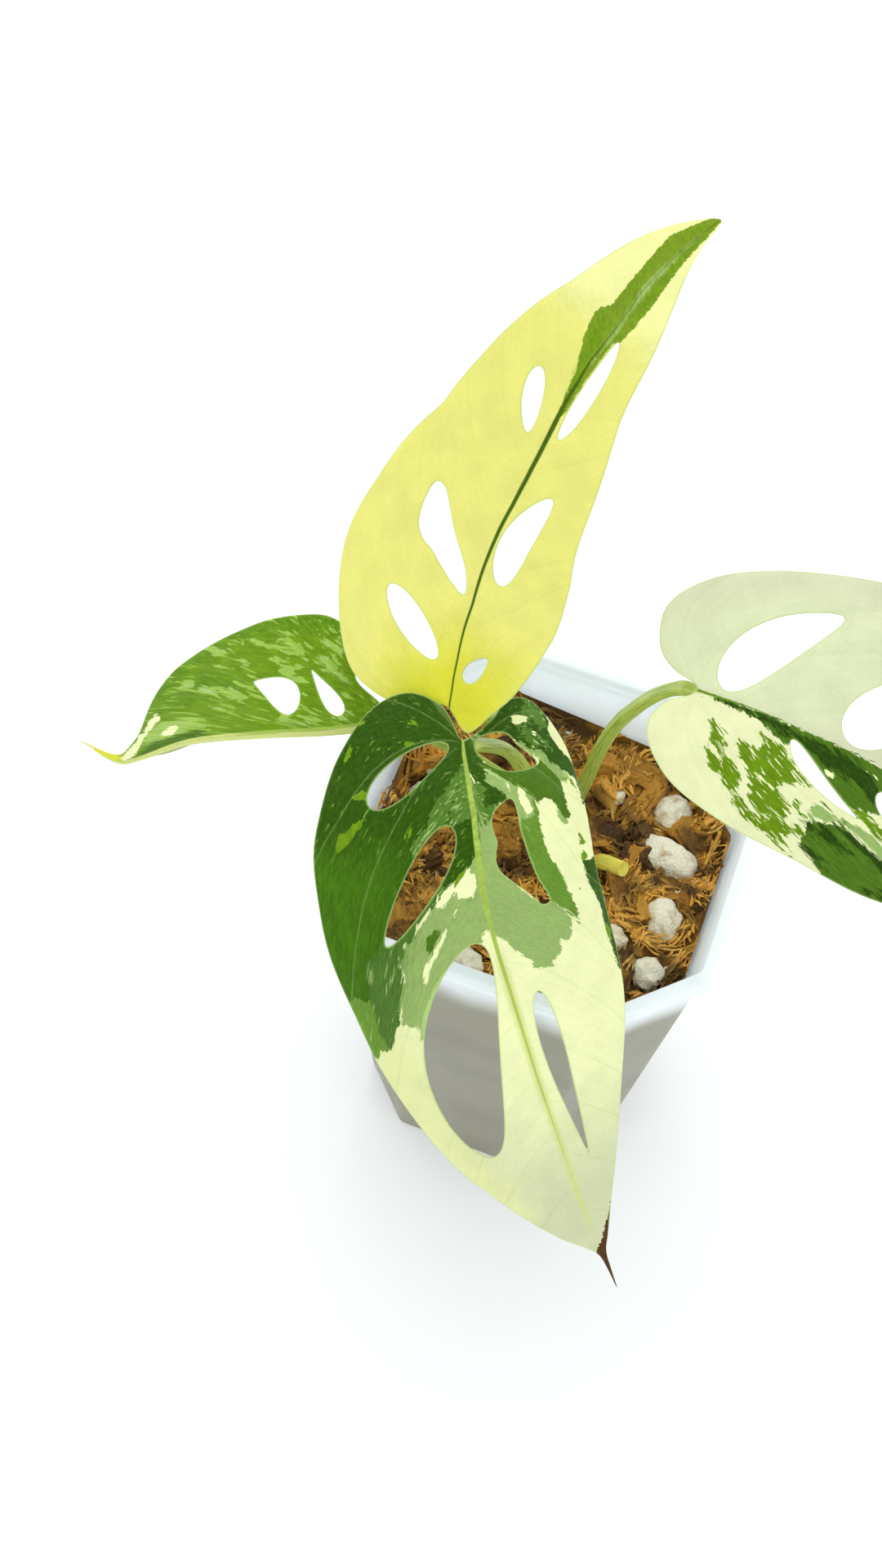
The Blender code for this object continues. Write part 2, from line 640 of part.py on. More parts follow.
def main():
    clear_scene()
    make_pot()
    make_substrate()
    make_perlite()
    make_stem()
    make_stub()
    for plan in LEAVES:
        make_leaf(plan)


main()
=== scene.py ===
"""Looks of a variegated monstera adansonii with four leaves, rooted in a square milky plastic pot.

The frame's origin is the middle of the pot's underside, +Z is up. Forms are worked out in
millimetres and put into the meshes in metres.
"""
import logging
import math
from collections.abc import Callable
from dataclasses import dataclass, field
from enum import Enum

import bmesh
import bpy
import numpy as np
from mathutils import Euler, Matrix, Vector
from mathutils.geometry import delaunay_2d_cdt


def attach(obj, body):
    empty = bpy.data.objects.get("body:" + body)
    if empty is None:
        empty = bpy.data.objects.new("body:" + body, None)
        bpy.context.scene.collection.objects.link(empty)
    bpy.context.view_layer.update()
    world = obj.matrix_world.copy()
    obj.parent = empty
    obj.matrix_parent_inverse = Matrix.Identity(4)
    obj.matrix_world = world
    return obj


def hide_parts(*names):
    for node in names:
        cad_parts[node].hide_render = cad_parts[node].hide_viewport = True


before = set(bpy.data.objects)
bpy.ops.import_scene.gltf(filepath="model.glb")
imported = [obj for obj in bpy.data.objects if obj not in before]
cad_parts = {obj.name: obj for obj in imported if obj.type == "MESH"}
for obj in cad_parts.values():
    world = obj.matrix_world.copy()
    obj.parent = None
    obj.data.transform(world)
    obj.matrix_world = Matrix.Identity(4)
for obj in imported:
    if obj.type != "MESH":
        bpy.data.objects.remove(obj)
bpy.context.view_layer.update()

LOG = logging.getLogger("monstera")
MM = 0.001

Points = tuple[tuple[float, ...], ...]
Socket = bpy.types.NodeSocket
Value = Socket | float


class Tint(Enum):
    """Colours of the plant and its pot, as display values from 0 to 255."""

    CREAM = (242, 246, 190)
    BUFF = (226, 230, 168)
    PALE_CREAM = (232, 235, 186)
    FOLD_SHADE_STONE = (212, 214, 182)
    TIP_SHADE_CREAM = (208, 212, 172)
    SHADED_IVORY = (220, 226, 186)
    BUTTER = (233, 230, 128)
    PALE_BUTTER = (242, 243, 166)
    LEMON = (218, 217, 56)
    SAGE = (151, 179, 104)
    PALE_GREEN = (160, 194, 84)
    PALE_SAGE = (176, 202, 122)
    MOTTLED = (86, 126, 42)
    BAND = (104, 144, 48)
    GRASS = (66, 112, 8)
    MOSS = (124, 154, 34)
    BLUE_GREEN = (78, 116, 42)
    OLIVE = (134, 168, 74)
    LIME = (104, 140, 10)
    FRESH = (112, 150, 20)
    LEAF_GREEN = (98, 140, 22)
    MID_GREEN = (76, 114, 22)
    DARK_GREEN = (46, 84, 0)
    DEEP_GREEN = (36, 68, 0)
    RIB_GREEN = (166, 192, 84)
    RIB_PALE = (210, 218, 128)
    RIB_CORE = (176, 196, 84)
    RIB_DARK = (72, 100, 8)
    DRY = (84, 52, 26)
    STUB = (248, 236, 104)
    STUB_DARK = (222, 206, 80)
    PETIOLE = (186, 204, 92)
    PETIOLE_DARK = (142, 168, 60)
    HUSK_DARK = (62, 38, 14)
    HUSK = (186, 130, 42)
    HUSK_LIGHT = (240, 178, 74)
    STRAW = (226, 192, 118)
    PERLITE = (248, 240, 220)
    PERLITE_DUST_AND_SHADE = (200, 176, 138)
    MILK = (244, 250, 255)
    MILK_THIN = (250, 253, 255)
    MILK_PAINTED_GLOW = (214, 238, 255)
    MILK_HUSK_SHADE_DARK = (114, 101, 68)
    MILK_HUSK_SHADE = (144, 135, 102)
    FLOOR = (249, 251, 252)

    @property
    def linear(self) -> tuple[float, float, float, float]:
        """The colour as scene-linear values with an alpha of one."""
        share = [value / 255 for value in self.value]
        return (*[c / 12.92 if c <= 0.04045 else ((c + 0.055) / 1.055) ** 2.4 for c in share], 1.0)


Colour = Socket | Tint | tuple


def unit(vectors: np.ndarray) -> np.ndarray:
    """Vectors scaled to length one."""
    return vectors / np.linalg.norm(vectors, axis=-1, keepdims=True)


def catmull_rom(points: Points, steps: int, closed: bool = False) -> np.ndarray:
    """Smooth curve through points: between two of them it is the cubic whose end slopes are
    half the step between their neighbours.

    Args:
        points: the points to pass through.
        steps: how many equal parameter steps each piece has.
        closed: whether the curve returns to its first point.

    Returns:
        The curve's points, one row each.
    """
    given = np.asarray(points, float)
    if closed:
        ends = np.vstack([given[-1], given, given[:2]])
    else:
        ends = np.vstack([2 * given[0] - given[1], given, 2 * given[-1] - given[-2]])
    k = np.linspace(0, 1, steps, endpoint=False)[:, None]
    a, b, c, d = (ends[i:len(ends) - 3 + i, None] for i in range(4))
    curve = 0.5 * (2 * b + (c - a) * k + (2 * a - 5 * b + 4 * c - d) * k**2 + (3 * b - a - 3 * c + d) * k**3)
    curve = curve.reshape(-1, given.shape[1])
    return curve if closed else np.vstack([curve, given[-1]])


def inside(points: np.ndarray, loop: np.ndarray) -> np.ndarray:
    """Tells which points a closed loop surrounds: a ray from such a point crosses an odd number of edges.

    Args:
        points: flat points, one row each.
        loop: the loop's points.

    Returns:
        True for each point inside.
    """
    x, y = points[:, :1], points[:, 1:2]
    x0, y0 = loop[:, 0], loop[:, 1]
    x1, y1 = np.roll(x0, -1), np.roll(y0, -1)
    rise = np.where(y1 == y0, 1e-12, y1 - y0)
    crossed = ((y0 > y) != (y1 > y)) & (x < x0 + (y - y0) / rise * (x1 - x0))
    return crossed.sum(axis=1) % 2 == 1


def clearance(points: np.ndarray, loop: np.ndarray) -> np.ndarray:
    """Measures the distance from each point to the closed loop's nearest edge.

    Args:
        points: flat points, one row each.
        loop: the loop's points.

    Returns:
        The distances.
    """
    start, step = loop, np.roll(loop, -1, axis=0) - loop
    reach = points[:, None, :2] - start
    share = np.clip((reach * step).sum(-1) / np.maximum((step**2).sum(-1), 1e-12), 0, 1)
    return np.linalg.norm(reach - share[..., None] * step, axis=-1).min(axis=1)


def depth_inside(points: np.ndarray, outlines: tuple[Points, ...]) -> np.ndarray:
    """Measures how deep points lie in the union of outlines.

    Args:
        points: flat points, one row each.
        outlines: the closed outlines.

    Returns:
        Signed distances, positive inside and negative outside.
    """
    depth = np.full(len(points), -1e3)
    for outline in outlines:
        loop = np.asarray(outline, float)
        side = np.where(inside(points, loop), 1.0, -1.0)
        depth = np.maximum(depth, side * clearance(points, loop))
    return depth


def clear_of(points: np.ndarray, loops: list[np.ndarray], room: float) -> np.ndarray:
    """Tells which points lie inside the first loop, outside the others and away from all of them.

    Args:
        points: flat points, one row each.
        loops: the closed loops.
        room: the least distance to every loop.

    Returns:
        True for each such point.
    """
    keep = inside(points, loops[0])
    for loop in loops[1:]:
        keep &= ~inside(points, loop)
    for loop in loops:
        keep &= clearance(points, loop) > room
    return keep


def fill_flat(loops: list[np.ndarray], spacing: float, lines: tuple[np.ndarray, ...] = ()) -> tuple:
    """Triangles of the flat region inside the first loop and outside the others.

    Args:
        loops: closed loops of (s, t) points.
        spacing: distance between the inner points, which stand on a staggered grid.
        lines: open lines that edges follow where they keep clear of the loops.

    Returns:
        The points and the triangles.
    """
    outer = loops[0]
    low, high = outer.min(axis=0), outer.max(axis=0)
    rows = np.arange(low[0], high[0], spacing)
    columns = np.arange(low[1], high[1], spacing)
    s, t = np.meshgrid(rows, columns, indexing="ij")
    t = t + spacing / 2 * (np.arange(len(rows)) % 2)[:, None]
    grid = np.column_stack([s.ravel(), t.ravel()])
    keep = clear_of(grid, loops, spacing * 0.5)
    fixed, edges, count = list(loops), [], 0
    for loop in loops:
        turn = np.arange(len(loop))
        edges += (count + np.column_stack([turn, np.roll(turn, -1)])).tolist()
        count += len(loop)
    for line in lines:
        good = clear_of(line, loops, spacing * 0.35)
        number = count + np.cumsum(good) - 1
        joined = good[:-1] & good[1:]
        edges += np.column_stack([number[:-1], number[1:]])[joined].tolist()
        fixed.append(line[good])
        count += int(good.sum())
        keep &= np.linalg.norm(grid[:, None] - line, axis=-1).min(axis=1) > spacing * 0.45
    points = np.vstack(fixed + [grid[keep]])
    flat, _, faces, *_ = delaunay_2d_cdt([Vector(p) for p in points], edges, [], 0, 1e-6)
    flat = np.array(flat)
    faces = np.array([face for face in faces if len(face) == 3])
    middle = flat[faces].mean(axis=1)
    return flat, faces[clear_of(middle, loops, 0.0)]


def value_noise(points: np.ndarray, seed: int) -> np.ndarray:
    """Smooth noise: random lattice values joined by quintic weights in each cell.

    Args:
        points: places, one row each, with a lattice step of one.
        seed: seed of the lattice.

    Returns:
        Values from -1 to 1.
    """
    draw = np.random.default_rng(seed)
    table, order = draw.uniform(-1, 1, 256), draw.permutation(256)
    cell = np.floor(points).astype(int)
    part = points - cell
    part = part**3 * (part * (part * 6 - 15) + 10)
    total = np.zeros(len(points))
    for corner in range(8):
        step = np.array([corner & 1, corner >> 1 & 1, corner >> 2])
        weight = np.where(step == 1, part, 1 - part).prod(axis=1)
        x, y, z = ((cell + step) % 256).T
        total += weight * table[order[(order[(order[x] + y) % 256] + z) % 256]]
    return total


def layered_noise(points: np.ndarray, seed: int, layers: int = 3) -> np.ndarray:
    """Sum of value noise whose layers double in frequency and halve in height."""
    return sum(value_noise(points * 2.0**k, seed + k) * 0.5**k for k in range(layers))


def grid_faces(rows: int, columns: int) -> np.ndarray:
    """Quads of a grid whose columns go round and whose rows run along.

    Args:
        rows: rows of the grid.
        columns: points of a row.

    Returns:
        The quads' point numbers.
    """
    i, j = np.meshgrid(np.arange(rows - 1), np.arange(columns), indexing="ij")
    k, low, high = (j + 1) % columns, i * columns, (i + 1) * columns
    return np.stack([low + j, low + k, high + k, high + j], -1).reshape(-1, 4)


def ring_angles(sides: int) -> np.ndarray:
    """Equally spaced angles of a full turn, from minus pi on."""
    return np.linspace(-math.pi, math.pi, sides, endpoint=False)


def end_fans(rows: int, columns: int) -> np.ndarray:
    """Triangles that close both ends of a round grid with two points that follow the grid's own.

    Args:
        rows: rings of the grid.
        columns: points of a ring.

    Returns:
        The triangles, facing outward.
    """
    ring = np.arange(columns)
    after, last = np.roll(ring, -1), (rows - 1) * columns
    low, high = np.full(columns, rows * columns), np.full(columns, rows * columns + 1)
    first, second = np.column_stack([low, after, ring]), np.column_stack([high, ring + last, after + last])
    return np.vstack([first, second])


def spread_evenly(values: tuple[float, ...], count: int) -> np.ndarray:
    """Values at equal steps, read at a larger number of equal steps."""
    return np.interp(np.linspace(0, 1, count), np.linspace(0, 1, len(values)), values)


def running_length(path: np.ndarray) -> np.ndarray:
    """Length along a path up to each of its points."""
    return np.concatenate([[0], np.cumsum(np.linalg.norm(np.diff(path, axis=0), axis=1))])


def make_piece(name: str, points: np.ndarray, faces: list, smooth_angle: float = 60.0,
               values: dict[str, np.ndarray] | None = None, clean: bool = True) -> bpy.types.Object:
    """Puts points and faces into a mesh object at the origin.

    Args:
        name: the piece's name.
        points: places in millimetres.
        faces: lists of point numbers.
        smooth_angle: edges that turn by more degrees stay sharp.
        values: named vectors, one for each point.
        clean: whether doubles are merged and the faces turned to point out.

    Returns:
        The new object, linked to the scene.
    """
    mesh = bpy.data.meshes.new(name)
    mesh.from_pydata((points * MM).tolist(), [], faces)
    for key, vectors in (values or {}).items():
        store = mesh.attributes.new(key, "FLOAT_VECTOR", "POINT")
        store.data.foreach_set("vector", np.ascontiguousarray(vectors, dtype=np.float32).ravel())
    if clean:
        work = bmesh.new()
        work.from_mesh(mesh)
        bmesh.ops.remove_doubles(work, verts=work.verts, dist=1e-7)
        bmesh.ops.delete(work, geom=[v for v in work.verts if not v.link_faces], context="VERTS")
        bmesh.ops.recalc_face_normals(work, faces=work.faces)
        work.to_mesh(mesh)
        work.free()
    mesh.shade_smooth()
    mesh.set_sharp_from_angle(angle=math.radians(smooth_angle))
    made = bpy.data.objects.new(name, mesh)
    bpy.context.scene.collection.objects.link(made)
    return made


def make_tube(name: str, path: np.ndarray, radii: np.ndarray, axes: tuple[np.ndarray, np.ndarray],
              share: np.ndarray, end: np.ndarray, smooth_angle: float) -> bpy.types.Object:
    """Closed tube: round each place of a path stands a ring whose point at the angle a lies at the
    radius there, times (cos a first axis + sin a second axis). Fans close both ends.

    Args:
        name: the piece's name.
        path: the path's places in millimetres, one row each.
        radii: the radius for each place and each angle.
        axes: directions at the angle zero and at a quarter turn, one row for each place.
        share: a value for each place, kept in the attribute.
        end: middle point of the closed end.
        smooth_angle: edges that turn by more degrees stay sharp.

    Returns:
        The new object, whose attribute "tube" holds the run along the path, the angle and the share.
    """
    count, sides = radii.shape
    angle = ring_angles(sides)
    first, second = (axis[:, None] for axis in axes)
    out = np.cos(angle)[None, :, None] * first + np.sin(angle)[None, :, None] * second
    points = (path[:, None] + radii[..., None] * out).reshape(-1, 3)
    faces = grid_faces(count, sides).tolist() + end_fans(count, sides).tolist()
    run = running_length(path)
    tube = np.stack([np.repeat(run, sides), np.tile(angle, count), np.repeat(share, sides)], 1)
    tube = np.vstack([tube, [[0, 0, 0], [run[-1], 0, 1]]])
    return make_piece(name, np.vstack([points, path[0], end]), faces, smooth_angle, {"tube": tube})


def settle(piece: bpy.types.Object, material: bpy.types.Material, slot: str, nodes: tuple[str, ...]) -> None:
    """Dresses a finished piece and joins it to the frame.

    Args:
        piece: the piece.
        material: its material.
        slot: its material slot in the frame; not used.
        nodes: the nodes whose form it replaces.
    """
    piece.data.materials.clear()
    piece.data.materials.append(material)
    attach(piece, "root")
    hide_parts(*nodes)
    LOG.info("%s: %d faces", piece.name, len(piece.data.polygons))


class Graph:
    """Adds shader nodes to a tree and links them."""

    def __init__(self, tree: bpy.types.NodeTree) -> None:
        """Keeps the tree that nodes go into."""
        self.tree = tree

    def feed(self, node: bpy.types.Node, inputs: dict) -> bpy.types.Node:
        """Links or sets a node's inputs.

        Args:
            node: the node.
            inputs: for each input's name or number, a socket to link, or a Tint or a value to set.

        Returns:
            The same node.
        """
        for key, value in inputs.items():
            if isinstance(value, Socket):
                self.tree.links.new(value, node.inputs[key])
            else:
                node.inputs[key].default_value = value.linear if isinstance(value, Tint) else value
        return node

    def add(self, kind: str, inputs: dict | None = None, **settings: object) -> bpy.types.Node:
        """Adds one node.

        Args:
            kind: the node type's name without its ShaderNode prefix.
            inputs: what feeds its inputs.
            settings: the node's own properties.

        Returns:
            The new node.
        """
        node = self.tree.nodes.new("ShaderNode" + kind)
        for key, value in settings.items():
            setattr(node, key, value)
        return self.feed(node, inputs or {})

    def group(self, make: Callable[[], bpy.types.NodeTree], inputs: dict) -> bpy.types.Node:
        """Places the node group that a function makes."""
        return self.add("Group", inputs, node_tree=shared_group(make))

    def math(self, operation: str, *values: Value) -> Socket:
        """Result of a Math node."""
        return self.add("Math", dict(enumerate(values)), operation=operation).outputs[0]

    def times(self, first: Value, second: Value) -> Socket:
        """Product of two values."""
        return self.math("MULTIPLY", first, second)

    def mix(self, factor: Value, first: Colour, second: Colour, blend: str = "MIX") -> Socket:
        """Colour mixed from two colours."""
        inputs = {0: factor, 6: first, 7: second}
        return self.add("Mix", inputs, data_type="RGBA", blend_type=blend).outputs[2]

    def remap(self, value: Socket, low: Value, high: Value, to_low: float = 0.0,
              to_high: float = 1.0) -> Socket:
        """Value eased from one range to another and held at its ends."""
        inputs = {"Value": value, "From Min": low, "From Max": high, "To Min": to_low, "To Max": to_high}
        return self.add("MapRange", inputs, interpolation_type="SMOOTHSTEP").outputs[0]

    def noise(self, vector: Socket, scale: float, detail: float = 3.0, rough: float = 0.5) -> Socket:
        """Factor of a noise texture."""
        inputs = {"Vector": vector, "Scale": scale, "Detail": detail, "Roughness": rough}
        return self.add("TexNoise", inputs).outputs[0]

    def scaled(self, vector: Socket, by: tuple, shift: tuple | Socket = (0, 0, 0)) -> Socket:
        """Vector multiplied part by part and moved."""
        return self.add("VectorMath", {0: vector, 1: by, 2: shift}, operation="MULTIPLY_ADD").outputs[0]

    def warped(self, vector: Socket, scale: float, detail: float, reach: float) -> Socket:
        """Vector whose first two parts are moved by reach times the colours of a noise."""
        colours = self.add("TexNoise", {"Vector": vector, "Scale": scale, "Detail": detail}).outputs["Color"]
        return self.scaled(colours, (reach, reach, 0.0), vector)

    def mosaic(self, vector: Socket, scale: float) -> list[Socket]:
        """Three random values for each cell of a mosaic of squarish cells."""
        cells = self.add("TexVoronoi", {"Vector": vector, "Scale": scale}, distance="CHEBYCHEV")
        return self.split(cells.outputs["Color"])

    def attribute(self, name: str) -> Socket:
        """Vector of a named attribute."""
        return self.add("Attribute", attribute_name=name).outputs["Vector"]

    def place(self) -> Socket:
        """Place in the object's own coordinates, in metres."""
        return self.add("TexCoord").outputs["Object"]

    def split(self, vector: Socket) -> list[Socket]:
        """The three parts of a vector."""
        return list(self.add("SeparateXYZ", {0: vector}).outputs)

    def join(self, *parts: Value) -> Socket:
        """Vector of three parts."""
        return self.add("CombineXYZ", dict(enumerate(parts))).outputs[0]

    def bump(self, height: Socket, strength: float, distance: float) -> Socket:
        """Normal bent by a height."""
        return self.add("Bump", {"Height": height, "Strength": strength, "Distance": distance}).outputs[0]


def new_group(name: str, inputs: dict[str, str], outputs: dict[str, str]) -> tuple:
    """Empty shader node group with named sockets.

    Args:
        name: the group's name.
        inputs: each input's name and socket type.
        outputs: each output's name and socket type.

    Returns:
        A Graph for the group, the sockets that it is given and its output node.
    """
    tree = bpy.data.node_groups.new(name, "ShaderNodeTree")
    for direction, sockets in (("INPUT", inputs), ("OUTPUT", outputs)):
        for key, kind in sockets.items():
            tree.interface.new_socket(key, in_out=direction, socket_type="NodeSocket" + kind)
    given, out = tree.nodes.new("NodeGroupInput"), tree.nodes.new("NodeGroupOutput")
    return Graph(tree), given.outputs, out


def ragged_edge_group() -> bpy.types.NodeTree:
    """Mask of a colour patch whose border is torn along the veins: the patch's depth is raised and
    lowered by a random value for each cell of a coarse and a fine mosaic, both stretched along the veins,
    and by soft noise, and the mask is where the sum is above zero.

    Returns:
        The node group.
    """
    values = dict.fromkeys(("Depth", "Reach", "Seed", "Softness"), "Float")
    graph, given, out = new_group("Ragged edge", {"Vein place": "Vector", **values}, {"Mask": "Float"})
    shift = graph.join(given["Seed"], given["Seed"], 0.0)
    stretched = graph.scaled(given["Vein place"], (0.9, 0.55, 1.0), shift)
    bent = graph.warped(stretched, 1.3, 2.0, 0.4)
    coarse = graph.math("SUBTRACT", graph.mosaic(bent, 1.0)[0], 0.5)
    fine = graph.math("SUBTRACT", graph.mosaic(bent, 2.8)[1], 0.5)
    broad = graph.math("SUBTRACT", graph.noise(stretched, 0.5, 2.0), 0.5)
    torn = graph.math("MULTIPLY_ADD", broad, 1.6, graph.times(fine, 1.1))
    torn = graph.math("MULTIPLY_ADD", coarse, 1.4, torn)
    depth = graph.math("MULTIPLY_ADD", torn, given["Reach"], given["Depth"])
    mask = graph.remap(depth, graph.times(given["Softness"], -1.0), given["Softness"])
    graph.feed(out, {"Mask": mask})
    return graph.tree


def fleck_group() -> bpy.types.NodeTree:
    """Mask of small torn flecks strewn along the veins, denser as the amount rises: the cells of a
    stretched mosaic whose random value, with soft noise added, passes a limit.

    Returns:
        The node group.
    """
    sockets = {"Vein place": "Vector", "Amount": "Float", "Seed": "Float", "Size": "Float"}
    graph, given, out = new_group("Vein flecks", sockets, {"Mask": "Float"})
    finer = graph.math("DIVIDE", 1.0, given["Size"])
    sized = graph.add("VectorMath", {0: given["Vein place"], "Scale": finer}, operation="SCALE").outputs[0]
    stretched = graph.scaled(sized, (1.1, 0.42, 1.0), graph.join(given["Seed"], 3.7, given["Seed"]))
    cell = graph.mosaic(graph.warped(stretched, 1.7, 3.0, 0.9), 1.0)[1]
    level = graph.math("MULTIPLY_ADD", graph.noise(stretched, 0.22, 1.0), 0.6, cell)
    level = graph.math("SUBTRACT", level, graph.math("SUBTRACT", 1.45, given["Amount"]))
    graph.feed(out, {"Mask": graph.remap(level, 0.0, 0.04)})
    return graph.tree


def skin_relief_group() -> bpy.types.NodeTree:
    """Fine relief of plant skin: a net of small veins, pores, soft mottles, and streaks and grain along
    the veins.

    Returns:
        The node group.
    """
    sockets = {"Vein place": "Vector", "Flat place": "Vector", "Net size": "Float"}
    values = dict.fromkeys(("Height", "Net", "Mottle", "Streak", "Grain"), "Float")
    graph, given, out = new_group("Skin relief", sockets, values)
    vein, flat = given["Vein place"], given["Flat place"]
    inputs = {"Vector": graph.warped(flat, 0.5, 2.0, 2.0), "Scale": given["Net size"]}
    cells = graph.add("TexVoronoi", inputs, feature="DISTANCE_TO_EDGE")
    net = graph.remap(cells.outputs["Distance"], 0.0, 0.12, 1.0, 0.0)
    pores = graph.noise(flat, 5.0, 2.0)
    graph.feed(out, {
        "Height": graph.math("MULTIPLY_ADD", net, -0.5, graph.times(pores, 0.35)),
        "Net": net,
        "Mottle": graph.noise(flat, 0.14, 2.0),
        "Streak": graph.noise(graph.scaled(vein, (0.8, 0.09, 1.0)), 1.0, 3.0),
        "Grain": graph.noise(graph.scaled(vein, (1.5, 0.7, 1.0)), 1.0, 4.0, 0.7),
    })
    return graph.tree


GROUPS: dict[str, bpy.types.NodeTree] = {}


def shared_group(make: Callable[[], bpy.types.NodeTree]) -> bpy.types.NodeTree:
    """Makes a node group once.

    Args:
        make: the function that makes it.

    Returns:
        The node group.
    """
    if make.__name__ not in GROUPS:
        GROUPS[make.__name__] = make()
    return GROUPS[make.__name__]


def new_material(name: str) -> tuple[bpy.types.Material, Graph, bpy.types.Node]:
    """Makes a Principled material.

    Args:
        name: the material's name.

    Returns:
        The material, a Graph for its nodes and its shader.
    """
    made = bpy.data.materials.new(name)
    made.use_nodes = True
    return made, Graph(made.node_tree), made.node_tree.nodes["Principled BSDF"]


@dataclass(frozen=True)
class StalkSkin:
    """Skin with fine lengthwise streaks, a darker line down its groove, a paler joint ring and a
    paler ridge under the blade."""

    name: str
    light: Tint
    dark: Tint
    ring: float = 0.0
    ridge: float = 0.0
    joint: float = 0.87
    ring_width: float = 0.035

    def make(self) -> bpy.types.Material:
        """Makes the material, for a tube whose attribute holds its run, its angle and its share of the
        way from the stem to the blade.

        Returns:
            The material.
        """
        made, graph, shader = new_material(self.name)
        tube = graph.attribute("tube")
        _, angle, share = graph.split(tube)
        streaks = graph.noise(graph.scaled(tube, (0.12, 5.0, 0.0)), 1.0, 3.0, 0.6)
        below = graph.remap(share, 0.76, 0.86, 1.0, 0.3)
        colour = graph.mix(graph.times(graph.remap(streaks, 0.46, 0.62), below), self.light, self.dark)
        groove = graph.remap(graph.math("ABSOLUTE", angle), 0.15, 0.6, 0.4, 0.0)
        colour = graph.mix(groove, colour, self.dark)
        from_joint = graph.math("ABSOLUTE", graph.math("SUBTRACT", share, self.joint))
        ring = graph.remap(from_joint, 0.0, self.ring_width, self.ring, 0.0)
        colour = graph.mix(ring, colour, Tint.PALE_BUTTER)
        broad = graph.noise(graph.scaled(tube, (0.05, 2.2, 0.0), (3.0, 1.0, 0.0)), 1.0, 2.0)
        colour = graph.mix(graph.remap(broad, 0.55, 0.72, 0.0, 0.6), colour, Tint.PALE_SAGE)
        colour = graph.mix(graph.remap(share, 0.96, 1.0, 0.0, self.ridge), colour, Tint.RIB_PALE)
        graph.feed(shader, {
            "Base Color": colour,
            "Roughness": graph.remap(streaks, 0.3, 0.7, 0.36, 0.5),
            "Normal": graph.bump(streaks, 0.5, 0.00012),
            "Subsurface Weight": 0.2,
            "Subsurface Scale": 0.001,
        })
        return made


@dataclass(frozen=True)
class MilkyPlastic:
    """Milky half-clear plastic: soft cloudiness, a painted shade on its outer face up to near the lip (the
    husk's grey-brown behind the wall and the shaded front), a faint painted glow on the inner faces and above
    the painted shade for light coming through, and a smooth gloss."""

    # Heights in metres where the painted shade on the outer face is full and where it ends, and its strength.
    husk_shade_low: float = 0.109
    husk_shade_high: float = 0.122
    husk_shade_share: float = 0.9
    clear: float = 0.4
    # Strength of the painted glow.
    glow: float = 0.13

    def make(self) -> bpy.types.Material:
        """Makes the material, for a piece whose attribute "outer" is one on its outer face.

        Returns:
            The material.
        """
        made, graph, shader = new_material("Milky plastic")
        place = graph.place()
        cloud = graph.noise(place, 22.0, 3.0)
        colour = graph.mix(graph.remap(cloud, 0.3, 0.7), Tint.MILK, Tint.MILK_THIN)
        height = graph.math("MULTIPLY_ADD", cloud, 0.02, graph.split(place)[2])
        # Painted shade: on the outer face, up to near the lip, the grey-brown of the husk seen through the
        # wall and of the shaded front, with darker blotches.
        shade_blotch = graph.remap(graph.noise(place, 55.0, 3.0), 0.42, 0.66, 0.0, 0.5)
        behind = graph.mix(shade_blotch, Tint.MILK_HUSK_SHADE, Tint.MILK_HUSK_SHADE_DARK)
        outer = graph.split(graph.attribute("outer"))[0]
        husk = graph.times(outer, graph.remap(height, self.husk_shade_low, self.husk_shade_high, self.husk_shade_share, 0.0))
        ripple = graph.noise(graph.scaled(place, (300.0, 300.0, 40.0)), 1.0, 2.0)
        graph.feed(shader, {
            "Base Color": graph.mix(husk, colour, behind),
            # Painted glow: a faint bluish emission on the inner faces and above the painted shade stands in
            # for light coming through the plastic.
            "Emission Color": graph.mix(husk, Tint.MILK_PAINTED_GLOW, (0.0, 0.0, 0.0, 1.0)),
            "Emission Strength": self.glow,
            "Roughness": graph.remap(cloud, 0.3, 0.7, 0.34, 0.44),
            "Normal": graph.bump(ripple, 0.15, 0.0001),
            "Transmission Weight": self.clear,
            "Subsurface Weight": 1.0,
            "Subsurface Radius": (1.0, 1.0, 1.0),
            "Subsurface Scale": 0.004,
            "IOR": 1.48,
        })
        return made


@dataclass(frozen=True)
class HuskSkin:
    """Coco husk: each chip has its own brown, with fibre streaks along it, dark pits and random dark patches
    of painted shade for its hollows.
    """

    name: str
    middle: Tint
    high: Tint
    low: Tint = Tint.HUSK_DARK
    lift: float = 0.0

    def make(self) -> bpy.types.Material:
        """Makes the material, for pieces whose attributes hold a random tone for each chip and the
        place within it.

        Returns:
            The material.
        """
        made, graph, shader = new_material(self.name)
        tone = graph.split(graph.attribute("tone"))[0]
        place = graph.place()
        fibre = graph.noise(graph.scaled(graph.attribute("local"), (0.8, 7.0, 7.0)), 1.0, 4.0, 0.65)
        grit = graph.noise(place, 900.0, 3.0)
        level = graph.math("MULTIPLY_ADD", fibre, 0.5, self.lift - 0.1)
        level = graph.math("MULTIPLY_ADD", tone, 0.6, level)
        colour = graph.mix(graph.remap(level, 0.1, 0.45), self.low, self.middle)
        colour = graph.mix(graph.remap(level, 0.4, 0.85), colour, self.high)
        # Painted shade: random dark patches stand in for the shade in the husk's hollows.
        hollow_shade = graph.noise(place, 80.0, 2.0)
        colour = graph.mix(graph.remap(hollow_shade, 0.5, 0.62, 0.0, 0.8), colour, self.low)
        graph.feed(shader, {
            "Base Color": graph.mix(graph.remap(grit, 0.55, 0.72, 0.0, 0.6), colour, self.low),
            "Roughness": graph.remap(grit, 0.3, 0.7, 0.75, 0.95),
            "Normal": graph.bump(graph.math("MULTIPLY_ADD", grit, 0.6, fibre), 0.8, 0.0005),
        })
        return made


